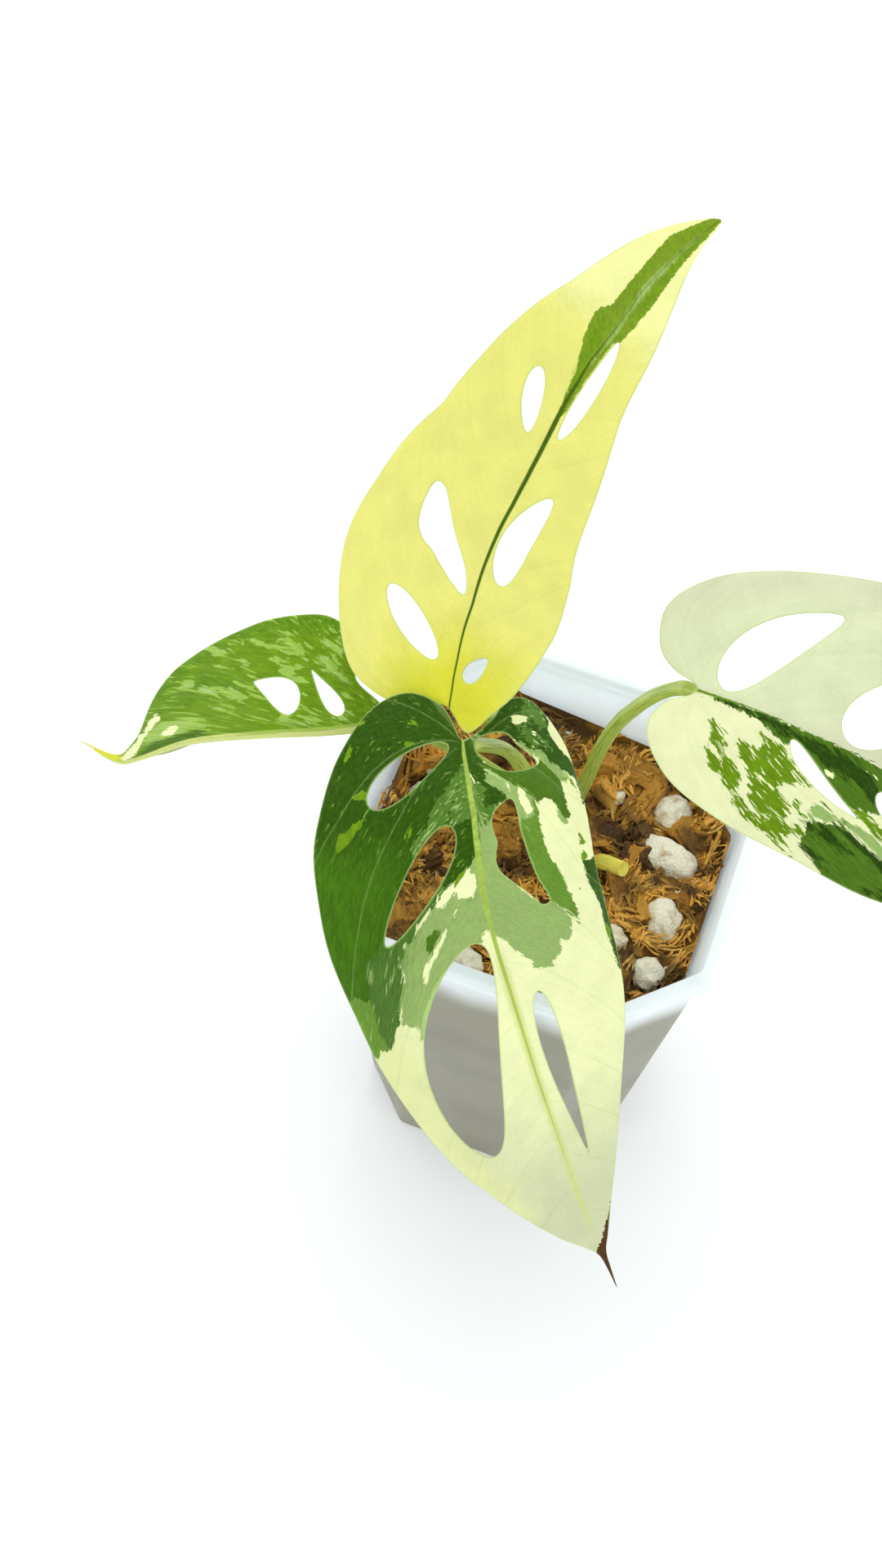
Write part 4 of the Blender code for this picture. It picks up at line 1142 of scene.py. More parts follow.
class LeafSurface:
    """The blade's middle surface: a curved midrib with two folded, curling halves."""

    FOLD_SCALE = 25.0
    FRAME_STEP = 1.5
    NORMAL_STEP = 0.4

    def __init__(self, plan: LeafPlan) -> None:
        """Reads the midrib's curve and its running length.

        Args:
            plan: the leaf's plan.
        """
        self.plan = plan
        self.curve = catmull_rom(plan.midrib, 24)
        self.along = running_length(self.curve)
        self.length = self.along[-1]

    def centre(self, s: np.ndarray) -> np.ndarray:
        """Point of the midrib, carried on straight past both ends.

        Args:
            s: places along the midrib.

        Returns:
            The points in space, one row each.
        """
        start = unit(self.curve[1] - self.curve[0])
        end = unit(self.curve[-1] - self.curve[-2])
        on = np.stack([np.interp(s, self.along, self.curve[:, k]) for k in range(3)], axis=-1)
        return on + np.minimum(s, 0)[:, None] * start + np.maximum(s - self.length, 0)[:, None] * end

    def frame(self, s: np.ndarray) -> tuple[np.ndarray, np.ndarray]:
        """Directions of the blade: the face direction goes evenly from the base's to the tip's and is
        squared to the midrib's tangent.

        Args:
            s: places along the midrib.

        Returns:
            The face directions and the directions across, one row each.
        """
        held = np.clip(s, 0, self.length)
        ahead = self.centre(np.minimum(held + self.FRAME_STEP, self.length))
        tangent = unit(ahead - self.centre(np.maximum(held - self.FRAME_STEP, 0)))
        share = (held / self.length)[:, None]
        faces = unit(np.array([self.plan.face_at_base, self.plan.face_at_tip], float))
        face = faces[0] * (1 - share) + faces[1] * share
        face = unit(face - (face * tangent).sum(-1, keepdims=True) * tangent)
        return face, np.cross(tangent, face)

    def point(self, flat: np.ndarray) -> np.ndarray:
        """Place in space of flat points (s, t): across each half runs an arc that starts at the half's
        fold angle and turns by its curl for every FOLD_SCALE millimetres.

        Args:
            flat: flat points, one row each.

        Returns:
            The points in space, one row each.
        """
        s, t = flat[:, 0], flat[:, 1]
        face, across = self.frame(s)
        second = (t > 0).astype(int)
        fold = np.radians(self.plan.fold)[second]
        turn = np.radians(self.plan.curl)[second] / self.FOLD_SCALE
        angle = fold + turn * np.abs(t)
        out = (np.sin(angle) - np.sin(fold)) / turn
        rise = (np.cos(fold) - np.cos(angle)) / turn
        return self.centre(s) + across * (np.sign(t) * out)[:, None] + face * rise[:, None]

    def normal(self, flat: np.ndarray) -> np.ndarray:
        """Normal on the upper side, from small steps along and across.

        Args:
            flat: flat points, one row each.

        Returns:
            Unit vectors, one row each.
        """
        step = self.NORMAL_STEP
        along = self.point(flat + (step, 0)) - self.point(flat - (step, 0))
        across = self.point(flat + (0, step)) - self.point(flat - (0, step))
        return unit(np.cross(across, along))


class VeinField:
    """Where the lateral veins run: each leaves the midrib, bends towards the tip and meets the margin."""

    FAN = 1.15
    BEHIND = -3
    BEYOND = 14.0
    FAN_SCALE = 11.0

    def __init__(self, plan: LeafPlan) -> None:
        """Keeps where the veins leave the midrib on each side, carried on past the last.

        Args:
            plan: the leaf's plan.
        """
        more = self.BEYOND * np.arange(1, 5)
        self.starts = [np.concatenate([side, side[-1] + more]) for side in plan.veins]
        self.lean, self.bend, self.growth = plan.vein_bend

    def line(self, side: int, number: int, offset: float, low: float, high: float) -> np.ndarray:
        """Flat points of one vein: at the distance d out from the midrib, s is the vein's start plus
        (lean + growth start) d + bend d squared. A vein behind the first one leaves the same spot,
        and its s falls back by d / FAN for each number.

        Args:
            side: 0 for t below zero, 1 for t above.
            number: the vein's number, below zero behind the first one.
            offset: how far beside the vein the line runs.
            low: distance from the midrib at which the line begins.
            high: distance at which it ends.

        Returns:
            The points, one row each.
        """
        out = np.arange(low, high, 0.5)
        start = self.starts[side][max(number, 0)]
        lean = self.lean + self.growth * start + min(number, 0) / self.FAN
        slope = lean + 2 * self.bend * out
        s = start + lean * out + self.bend * out**2 + offset * np.sqrt(1 + slope**2)
        return np.column_stack([s, out if side else -out])

    def read(self, flat: np.ndarray) -> tuple[np.ndarray, np.ndarray]:
        """Reads the field. The vein through a point is the one whose start, found by undoing the bend,
        leads there; points behind the first vein read a fan instead.

        Args:
            flat: flat points, one row each.

        Returns:
            The vein place, (distance across the veins, distance out from the midrib, 0), and the nerve:
            (number of the vein, millimetres for one number, 0).
        """
        out = np.maximum(np.abs(flat[:, 1]), 0.05)
        start = flat[:, 0] - self.lean * out - self.bend * out**2
        stretch = np.where(start > 0, 1 + self.growth * out, 1.0)
        start = start / stretch
        second = flat[:, 1] > 0
        number, width, across = np.empty(len(flat)), np.empty(len(flat)), np.empty(len(flat))
        for side, given in zip((~second, second), self.starts):
            past, far = start[side] - given[0], out[side]
            fanned = np.maximum(past / far * self.FAN, self.BEHIND)
            number[side] = np.where(past < 0, fanned, np.interp(start[side], given, np.arange(len(given))))
            step = np.diff(given)[np.clip(np.searchsorted(given, start[side]) - 1, 0, len(given) - 2)]
            width[side] = np.where(past < 0, far / self.FAN, step * stretch[side])
            across[side] = np.where(past < 0, fanned * self.FAN_SCALE, past)
        lean = self.lean + self.growth * np.maximum(start, 0) + np.minimum(number, 0) / self.FAN
        slant = np.sqrt(1 + (lean + 2 * self.bend * out) ** 2)
        zero = np.zeros(len(flat))
        return np.column_stack([across, out, zero]), np.column_stack([number, width / slant, zero])


@dataclass(frozen=True)
class LeafSkin:
    """Leaf skin: colour layers with torn edges, flecks, veins, a paler underside and a waxy gloss."""

    plan: LeafPlan
    length: float
    vein_shade: tuple = (0.78, 0.86, 0.6, 1.0)
    small_vein_show: float = 0.05
    side_shift: float = 9.1
    net_size: float = 0.8
    rim_width: float = 0.4
    rim_show: float = 0.62
    under_show: float = 0.3
    gloss: float = 0.08

    def strew(self, graph: Graph, colour: Socket, order: int, mask: Value, vein: Socket) -> Socket:
        """Adds the plan's flecks that lie over one layer.

        Args:
            graph: the material's graph.
            colour: the colour so far.
            order: the layer's number, 0 for the base.
            mask: where the layer lies.
            vein: the vein place.

        Returns:
            The colour with the flecks.
        """
        for flecks in self.plan.flecks:
            if flecks.over == order:
                inputs = {"Amount": flecks.amount, "Seed": flecks.seed, "Size": flecks.size}
                spots = graph.group(fleck_group, {"Vein place": vein, **inputs}).outputs[0]
                colour = graph.mix(graph.times(spots, mask), colour, flecks.tint)
        return colour

    def patches(self, graph: Graph, first: Socket, vein: Socket, streak: Socket) -> Socket:
        """The base colour, strayed along the veins, under every layer with its torn edge and its flecks.

        Args:
            graph: the material's graph.
            first: one where t is above zero.
            vein: the vein place.
            streak: the skin's streaks.

        Returns:
            The colour.
        """
        plan = self.plan
        colour = graph.mix(first, plan.base[1], plan.base[0])
        colour = graph.mix(graph.remap(streak, 0.38, 0.66, 0.0, plan.streaks), colour, Tint.LEAF_GREEN)
        colour = self.strew(graph, colour, 0, 1.0, vein)
        depths = []
        for k in range(0, len(plan.layers), 3):
            depths += graph.split(graph.attribute(f"layers_{k // 3}"))
        for order, (layer, depth) in enumerate(zip(plan.layers, depths), start=1):
            inputs = {"Depth": depth, "Vein place": vein, "Reach": layer.reach, "Seed": layer.seed}
            mask = graph.group(ragged_edge_group, {**inputs, "Softness": layer.soft}).outputs[0]
            colour = graph.mix(mask, colour, layer.tint)
            colour = self.strew(graph, colour, order, mask, vein)
        return colour

    def veins(self, graph: Graph, colour: Socket, out: Socket, light: Socket) -> Socket:
        """Adds the lateral veins, darker on pale skin and paler on dark skin, and three small veins
        between each two.

        Args:
            graph: the material's graph.
            colour: the colour so far.
            out: distance out from the midrib.
            light: how light the skin is.

        Returns:
            The colour with the veins.
        """
        number, scale, _ = graph.split(graph.attribute("nerve"))
        near = graph.times(graph.math("PINGPONG", number, 0.5), scale)
        line = graph.remap(near, 0.05, 0.3, self.plan.vein_show, 0.0)
        line = graph.times(line, graph.remap(out, 0.5, 2.5))
        dark = graph.remap(light, 0.12, 0.4, 1.0, 0.0)
        on_pale = graph.times(line, graph.math("MULTIPLY_ADD", dark, -0.7, 0.7))
        colour = graph.mix(on_pale, colour, self.vein_shade, "MULTIPLY")
        on_dark = graph.times(graph.times(line, dark), 0.4)
        colour = graph.mix(on_dark, colour, Tint.PALE_SAGE)
        small = graph.math("PINGPONG", graph.times(number, 4.0), 0.5)
        small = graph.times(small, graph.times(scale, 0.25))
        small = graph.remap(small, 0.02, 0.3, self.plan.vein_show * self.small_vein_show, 0.0)
        return graph.mix(small, colour, self.vein_shade, "MULTIPLY")

    def midrib(self, graph: Graph, colour: Socket, s: Socket, off: Socket, half: Socket) -> Socket:
        """Adds the midrib's line and the pale band beside it, both changing along the leaf.

        Args:
            graph: the material's graph.
            colour: the colour so far.
            s: place along the midrib.
            off: distance across from the line's middle.
            half: half the line's width.

        Returns:
            The colour with the midrib.
        """
        depth = graph.math("SUBTRACT", half, graph.math("ABSOLUTE", off))
        along = graph.remap(s, self.length * 0.3, self.length * 0.42)
        band = graph.times(graph.remap(depth, -1.3, -0.1, 0.0, self.plan.rib_band), along)
        colour = graph.mix(band, colour, Tint.RIB_PALE)
        line = graph.mix(along, *self.plan.rib)
        return graph.mix(graph.remap(depth, -0.16, 0.16), colour, line)

    def make(self) -> bpy.types.Material:
        """Makes the material, for a blade whose attributes hold its flat place, its veins, its midrib
        and the depth in each layer.

        Returns:
            The material.
        """
        made, graph, shader = new_material(f"Leaf skin {self.plan.name}")
        flat = graph.attribute("flat")
        s, t, edge = graph.split(flat)
        across, out, _ = graph.split(graph.attribute("vein"))
        rib_off, rib_half, under = graph.split(graph.attribute("rib"))
        first = graph.math("GREATER_THAN", t, 0.0)
        vein = graph.join(across, out, graph.times(first, self.side_shift))
        place = graph.scaled(flat, (1.0, 1.0, 0.0))
        inputs = {"Vein place": vein, "Flat place": place, "Net size": self.net_size}
        skin = graph.group(skin_relief_group, inputs).outputs
        colour = self.patches(graph, first, vein, skin["Streak"])
        light = graph.add("RGBToBW", {0: colour}).outputs[0]
        colour = self.veins(graph, colour, out, light)
        colour = self.midrib(graph, colour, s, rib_off, rib_half)
        grain = graph.remap(skin["Grain"], 0.36, 0.66, -0.16, 0.22)
        grain = graph.times(grain, graph.remap(light, 0.1, 0.65, 1.0, 0.0))
        shade = graph.math("ADD", grain, graph.remap(skin["Mottle"], 0.3, 0.7, 0.945, 1.015))
        grey = graph.add("CombineColor", {0: shade, 1: shade, 2: shade}).outputs[0]
        colour = graph.mix(1.0, colour, grey, "MULTIPLY")
        colour = graph.mix(graph.times(skin["Net"], 0.03), colour, Tint.RIB_GREEN)
        before_tip = graph.remap(s, self.length - 14, self.length - 7, 1.0, 0.0)
        rim = graph.times(graph.remap(edge, 0.0, self.rim_width, self.rim_show, 0.0), before_tip)
        colour = graph.mix(rim, colour, Tint.PALE_SAGE)
        graph.feed(shader, {
            "Base Color": graph.mix(graph.times(under, self.under_show), colour, Tint.PALE_SAGE),
            "Roughness": graph.remap(skin["Mottle"], 0.3, 0.7, 0.34, 0.46),
            "Normal": graph.bump(skin["Height"], 0.5, 0.00012),
            "Specular IOR Level": self.gloss,
            "Subsurface Weight": 0.2,
            "Subsurface Radius": (0.9, 1.0, 0.6),
            "Subsurface Scale": 0.0008,
        })
        return made


@dataclass
class Leaf:
    """One leaf: the waved, windowed blade and the petiole that runs on under it as the midrib."""

    plan: LeafPlan
    spacing: float = 0.8
    margin_steps: int = 8
    cut_steps: int = 5
    window_points: int = 44
    thickness: float = 0.3
    edge_thickness: float = 0.1
    edge_width: float = 1.2
    pucker: float = 0.22
    pucker_reach: float = 3.5
    wave: float = 0.1
    wave_size: float = 7.0
    vein_groove: float = 0.07
    vein_below: float = 1.4
    vein_width: float = 0.45
    vein_reach: float = 36.0
    rib_creases: tuple[float, ...] = (-1.3, -0.6, 0.0, 0.6, 1.3)
    rib_groove: float = 0.2
    rib_width: float = 0.8
    ridge_radius: tuple[float, float] = (1.25, 0.35)
    ridge_reach: float = 0.93
    ridge_sink: float = 1.08
    tube_sides: int = 24
    stalk_groove: float = 0.28
    groove_angle: float = 0.5
    wing: float = 0.22
    wing_angle: float = 0.95
    wing_spread: float = 0.3
    joint: float = 0.12
    joint_place: float = 0.86
    joint_spread: float = 0.05
    surface: LeafSurface = field(init=False)

    def __post_init__(self) -> None:
        """Works out the blade's middle surface."""
        self.surface = LeafSurface(self.plan)

    def window_loop(self, window: tuple[float, ...]) -> np.ndarray:
        """Closed egg-shaped loop: an ellipse narrowed towards one end by taper and bent by bow.

        Args:
            window: its s, t, length, width, turn in degrees, taper and bow.

        Returns:
            The loop's flat points.
        """
        s, t, length, width, turn, taper, bow = window
        angle = np.linspace(0, 2 * math.pi, self.window_points, endpoint=False)
        along = np.cos(angle) * length / 2
        across = np.sin(angle) * width / 2 * (1 - taper * np.cos(angle)) + bow * (0.5 - np.cos(angle) ** 2)
        cos, sin = math.cos(math.radians(turn)), math.sin(math.radians(turn))
        return np.column_stack([s + along * cos - across * sin, t + along * sin + across * cos])

    def rib_middle(self, s: np.ndarray) -> np.ndarray:
        """How far the midrib's line runs beside the fold, at s."""
        line_s, line_t, _ = np.array(self.plan.rib_line, float).T
        return np.interp(s, line_s, line_t)

    def crease_lines(self, field: VeinField) -> list[np.ndarray]:
        """Lines that the mesh follows: the midrib and each lateral vein, with a line on both sides.

        Args:
            field: the leaf's veins.

        Returns:
            The lines' flat points.
        """
        rib_s = np.arange(0.0, self.surface.length - 4.0, self.spacing * 0.8)
        lines = [np.column_stack([rib_s, self.rib_middle(rib_s) + t]) for t in self.rib_creases]
        for side in (0, 1):
            for number in range(-2, len(self.plan.veins[side])):
                for offset, low in ((0.0, 2.0), (-0.6, 3.5), (0.6, 3.5)):
                    lines.append(field.line(side, number, offset, low, self.vein_reach))
        return lines

    def make_blade(self) -> bpy.types.Object:
        """The blade: two sheets a little apart, joined round the margin and each window. The middle
        surface swells between the veins and sinks at them, the half thickness falls towards the margin,
        and the upper sheet has a groove over each vein and over the midrib.

        Returns:
            The new object, whose attributes serve the leaf's skin.
        """
        plan = self.plan
        loops = [catmull_rom(plan.margin, self.margin_steps, closed=True)]
        loops += [self.window_loop(window) for window in plan.windows]
        loops += [catmull_rom(outline, self.cut_steps, closed=True) for outline in plan.cut_outs]
        field = VeinField(plan)
        flat, faces = fill_flat(loops, self.spacing, tuple(self.crease_lines(field)))
        edge = np.min([clearance(flat, loop) for loop in loops], axis=0)
        vein, nerve = field.read(flat)
        inner = np.clip(edge / self.edge_width, 0, 1) ** 0.5
        half = self.edge_thickness + (self.thickness - self.edge_thickness) * inner
        near = np.abs(nerve[:, 0] - np.round(nerve[:, 0])) * nerve[:, 1]
        fade = inner * np.clip(vein[:, 1] / 4 - 0.3, 0, 1)
        groove = self.vein_groove * np.exp(-((near / self.vein_width) ** 2)) * fade
        beside = flat[:, 1] - self.rib_middle(flat[:, 0])
        to_tip = np.clip(1 - flat[:, 0] / self.surface.length, 0, 1)
        near_rib = np.exp(-((beside / self.rib_width) ** 2)) * to_tip
        swell = self.pucker * (np.clip(near / self.pucker_reach, 0, 1) ** 0.7 - 0.6) * fade
        wave = layered_noise(np.column_stack([flat / self.wave_size, np.zeros(len(flat))]), 5)
        swell = swell + self.wave * wave
        normal = self.surface.normal(flat)
        middle = self.surface.point(flat) + normal * swell[:, None]
        upper = middle + normal * (half - groove - self.rib_groove * near_rib)[:, None]
        lower = middle - normal * (half + groove * self.vein_below)[:, None]
        count = len(flat)
        pairs = np.vstack([faces[:, [0, 1]], faces[:, [1, 2]], faces[:, [2, 0]]])
        known = {(a, b) for a, b in pairs.tolist()}
        rim = [(a, b) for a, b in pairs.tolist() if (b, a) not in known]
        sheets = faces.tolist() + [(a + count, c + count, b + count) for a, b, c in faces.tolist()]
        sheets += [(b, a, a + count, b + count) for a, b in rim]
        depths = [depth_inside(flat, layer.outlines) + layer.grow for layer in plan.layers]
        depths += [np.full(count, -1e3)] * (-len(depths) % 3)
        line_s, _, line_half = np.array(plan.rib_line, float).T
        values = {
            "flat": np.column_stack([flat, edge]),
            "vein": vein,
            "nerve": nerve,
            "rib": np.column_stack([beside, np.interp(flat[:, 0], line_s, line_half), np.zeros(count)]),
        }
        for k in range(0, len(depths), 3):
            values[f"layers_{k // 3}"] = np.column_stack(depths[k:k + 3])
        values = {key: np.vstack([vectors, vectors]) for key, vectors in values.items()}
        values["rib"][:count, 2] = 1.0
        points = np.vstack([lower, upper])
        return make_piece(f"Blade_{plan.name}", points, sheets, 50.0, values, clean=False)

    def make_petiole(self) -> bpy.types.Object:
        """The petiole and the ridge under the midrib: a round profile carried along the path, with a
        groove on the petiole's upper side, low wings where it sheathes the stem and a swollen joint.

        Returns:
            The new object.
        """
        plan = self.plan
        base_face, _ = self.surface.frame(np.zeros(1))
        drop = self.ridge_sink * self.ridge_radius[0]
        stalk = catmull_rom(plan.petiole, 14)
        share = np.linspace(0, 1, len(stalk))
        stalk = stalk - base_face * drop * share[:, None] ** 4
        radius = np.interp(share, (0, 1), plan.petiole_radius)
        reach = np.linspace(0, self.surface.length * self.ridge_reach, 70)[1:]
        ridge_radius = np.interp(reach, (0, reach[-1]), self.ridge_radius)
        face, _ = self.surface.frame(reach)
        ridge = self.surface.centre(reach) - face * (ridge_radius * self.ridge_sink)[:, None]
        path = np.vstack([stalk, ridge])
        radii = np.concatenate([radius, ridge_radius])
        tangent = unit(np.gradient(path, axis=0))
        top = np.empty_like(path)
        top[len(stalk):] = face
        carried = face[0]
        for i in range(len(stalk) - 1, -1, -1):
            carried = unit(carried - (carried @ tangent[i]) * tangent[i])
            top[i] = carried
        top = unit(top - (top * tangent).sum(-1, keepdims=True) * tangent)
        side = np.cross(tangent, top)
        angle = ring_angles(self.tube_sides)
        on_stalk = np.concatenate([share, np.ones(len(reach))])[:, None]
        is_stalk = (np.arange(len(path)) < len(stalk))[:, None]
        sheath = np.clip(1.15 - on_stalk * 1.5, 0, 1)
        groove = self.stalk_groove * np.exp(-((angle / self.groove_angle) ** 2)) * is_stalk
        wing = self.wing * sheath * np.exp(-(((np.abs(angle) - self.wing_angle) / self.wing_spread) ** 2))
        from_joint = (on_stalk - self.joint_place) / self.joint_spread
        joint = self.joint * np.exp(-(from_joint**2)) * (on_stalk < 1)
        radii = radii[:, None] * (1 - groove + wing + joint)
        return make_tube(f"Petiole_{plan.name}", path, radii, (top, side), on_stalk[:, 0], path[-1], 70.0)

    def build(self) -> None:
        """Makes, dresses and places the blade and the petiole."""
        plan = self.plan
        settle(self.make_blade(), LeafSkin(plan, self.surface.length).make(), plan.slot, (plan.node,))
        petiole = StalkSkin(f"Petiole skin {plan.name}", *plan.petiole_tints, ring=0.2, ridge=0.85)
        settle(self.make_petiole(), petiole.make(), plan.slot, (plan.node,))


@dataclass
class Pot:
    """The square pot with cut corners: one tapering wall, a lip band and a floor with drain holes."""

    rim_side: float = 90.0
    height: float = 120.0
    base_to_rim: float = 0.76
    cut_corner: float = 0.21
    corner_radius: float = 3.0
    corner_steps: int = 8
    wall: float = 1.2
    floor: float = 1.6
    lip_height: float = 5.0
    lip_reach: float = 1.4
    lip_edge: float = 0.6
    band_groove: float = 0.12
    foot_radius: float = 0.8
    holes: int = 8
    hole_radius: float = 3.0
    hole_circle: float = 22.0

    def wall_half(self, z: float) -> float:
        """Half the outer width of the tapering wall at height z."""
        share = self.base_to_rim + (1 - self.base_to_rim) * z / self.height
        return (self.rim_side / 2 - self.lip_reach) * share

    def ring(self, half: float, z: float, radius: float | None = None) -> np.ndarray:
        """Square with its corners cut off, each of the eight corners rounded by an arc of equal steps.

        Args:
            half: half the square's width.
            z: the ring's height.
            radius: radius of the arcs, or None for the pot's own.

        Returns:
            The ring's points, one row each.
        """
        radius = self.corner_radius if radius is None else radius
        leg = self.cut_corner * 2 * half
        quarter = np.arange(4) * math.pi / 2
        cos, sin = np.cos(quarter), np.sin(quarter)
        turn = np.stack([cos, -sin, sin, cos], -1).reshape(4, 2, 2)
        pair = np.array([(half - leg, -half), (half, -half + leg)])
        corners = np.einsum("qij,kj->qki", turn, pair).reshape(8, 2)
        before = unit(np.roll(corners, 1, axis=0) - corners)
        after = unit(np.roll(corners, -1, axis=0) - corners)
        half_angle = np.arccos((before * after).sum(-1)) / 2
        centre = corners + unit(before + after) * (radius / np.sin(half_angle))[:, None]
        start = corners + before * (radius / np.tan(half_angle))[:, None] - centre
        swing = (math.pi - 2 * half_angle)[:, None] * np.linspace(0, 1, self.corner_steps + 1)
        cos, sin = np.cos(swing), np.sin(swing)
        x = centre[:, :1] + cos * start[:, :1] - sin * start[:, 1:]
        y = centre[:, 1:] + sin * start[:, :1] + cos * start[:, 1:]
        return np.stack([x.ravel(), y.ravel(), np.full(x.size, z)], -1)

    def profile(self) -> list[tuple[float, float]]:
        """Outline of the wall, from the outer foot over the rounded lip down to the floor.

        Returns:
            Half widths and heights.
        """
        lip, low, edge = self.rim_side / 2, self.height - self.lip_height, self.lip_edge
        arc = np.linspace(0, math.pi / 2, 5)
        round_foot, low_half = self.foot_radius, self.wall_half(0)
        foot = [(low_half - round_foot * (1 - math.sin(a)), round_foot * (1 - math.cos(a))) for a in arc]
        heights = np.linspace(4, low - 0.6, 12)
        wall = [(self.wall_half(z), z) for z in heights]
        under = [(self.wall_half(low) + 0.1, low - 0.15), (lip - edge, low)]
        under += [(lip - edge + edge * math.sin(a), low + edge - edge * math.cos(a)) for a in arc]
        mid = self.height - self.lip_height * 0.5
        sunk = lip - self.band_groove
        band = [(lip, mid - 0.5), (sunk, mid - 0.2), (sunk, mid + 0.1), (lip, mid + 0.4)]
        over = [(lip - edge + edge * math.cos(a), self.height - edge + edge * math.sin(a)) for a in arc]
        inner = self.wall_half(self.height) - self.wall
        down = [(inner + edge * (1 - math.sin(a)), self.height - edge + edge * math.cos(a)) for a in arc]
        step = [(inner, self.height - 3.0), (self.wall_half(self.height - 4) - self.wall, self.height - 4.0)]
        side = [(self.wall_half(z) - self.wall, z) for z in np.linspace(self.height - 8, self.floor + 1, 12)]
        bottom = [(self.wall_half(self.floor) - self.wall, self.floor)]
        return foot + wall + under + band + over + down + step + side + bottom

    def make(self) -> bpy.types.Object:
        """The wall is the profile carried round the ring; the floor is two holed sheets joined at the
        foot, at the inner wall and round each hole.

        Returns:
            The new object, whose attribute "outer" is one on its outer face.
        """
        rings = [self.ring(half, z, max(self.corner_radius - (self.rim_side / 2 - half) * 0.05, 1.5))
                 for half, z in self.profile()]
        around = len(rings[0])
        points, faces = [np.vstack(rings)], grid_faces(len(rings), around).tolist()
        top = int(np.argmax([ring[0, 2] for ring in rings]))
        outer = [np.repeat(np.arange(len(rings)) <= top, around).astype(float)]
        angle = np.linspace(0, 2 * math.pi, 32, endpoint=False)
        spots = np.arange(self.holes) * 2 * math.pi / self.holes
        round_hole = self.hole_radius * np.column_stack([np.cos(angle), np.sin(angle)])
        holes = [round_hole + self.hole_circle * np.array([math.cos(a), math.sin(a)]) for a in spots]
        for outline, z in ((rings[0], 0.0), (rings[-1], self.floor)):
            flat, sheet = fill_flat([outline[:, :2]] + holes, 5.0)
            faces += (sheet + sum(len(p) for p in points)).tolist()
            points.append(np.column_stack([flat, np.full(len(flat), z)]))
            outer.append(np.full(len(flat), float(z == 0)))
        for hole in holes:
            count = sum(len(p) for p in points)
            both = [np.column_stack([hole, np.full(len(hole), z)]) for z in (0.0, self.floor)]
            points.append(np.vstack(both))
            outer.append(np.ones(2 * len(hole)))
            faces += (grid_faces(2, len(hole)) + count).tolist()
        outer = np.concatenate(outer)[:, None] * np.array([1.0, 0.0, 0.0])
        return make_piece("Pot_Wall", np.vstack(points), faces, 35.0, {"outer": outer})

    def build(self) -> None:
        """Makes, dresses and places the pot."""
        settle(self.make(), MilkyPlastic().make(), "pot_plastic", ("Pot",))


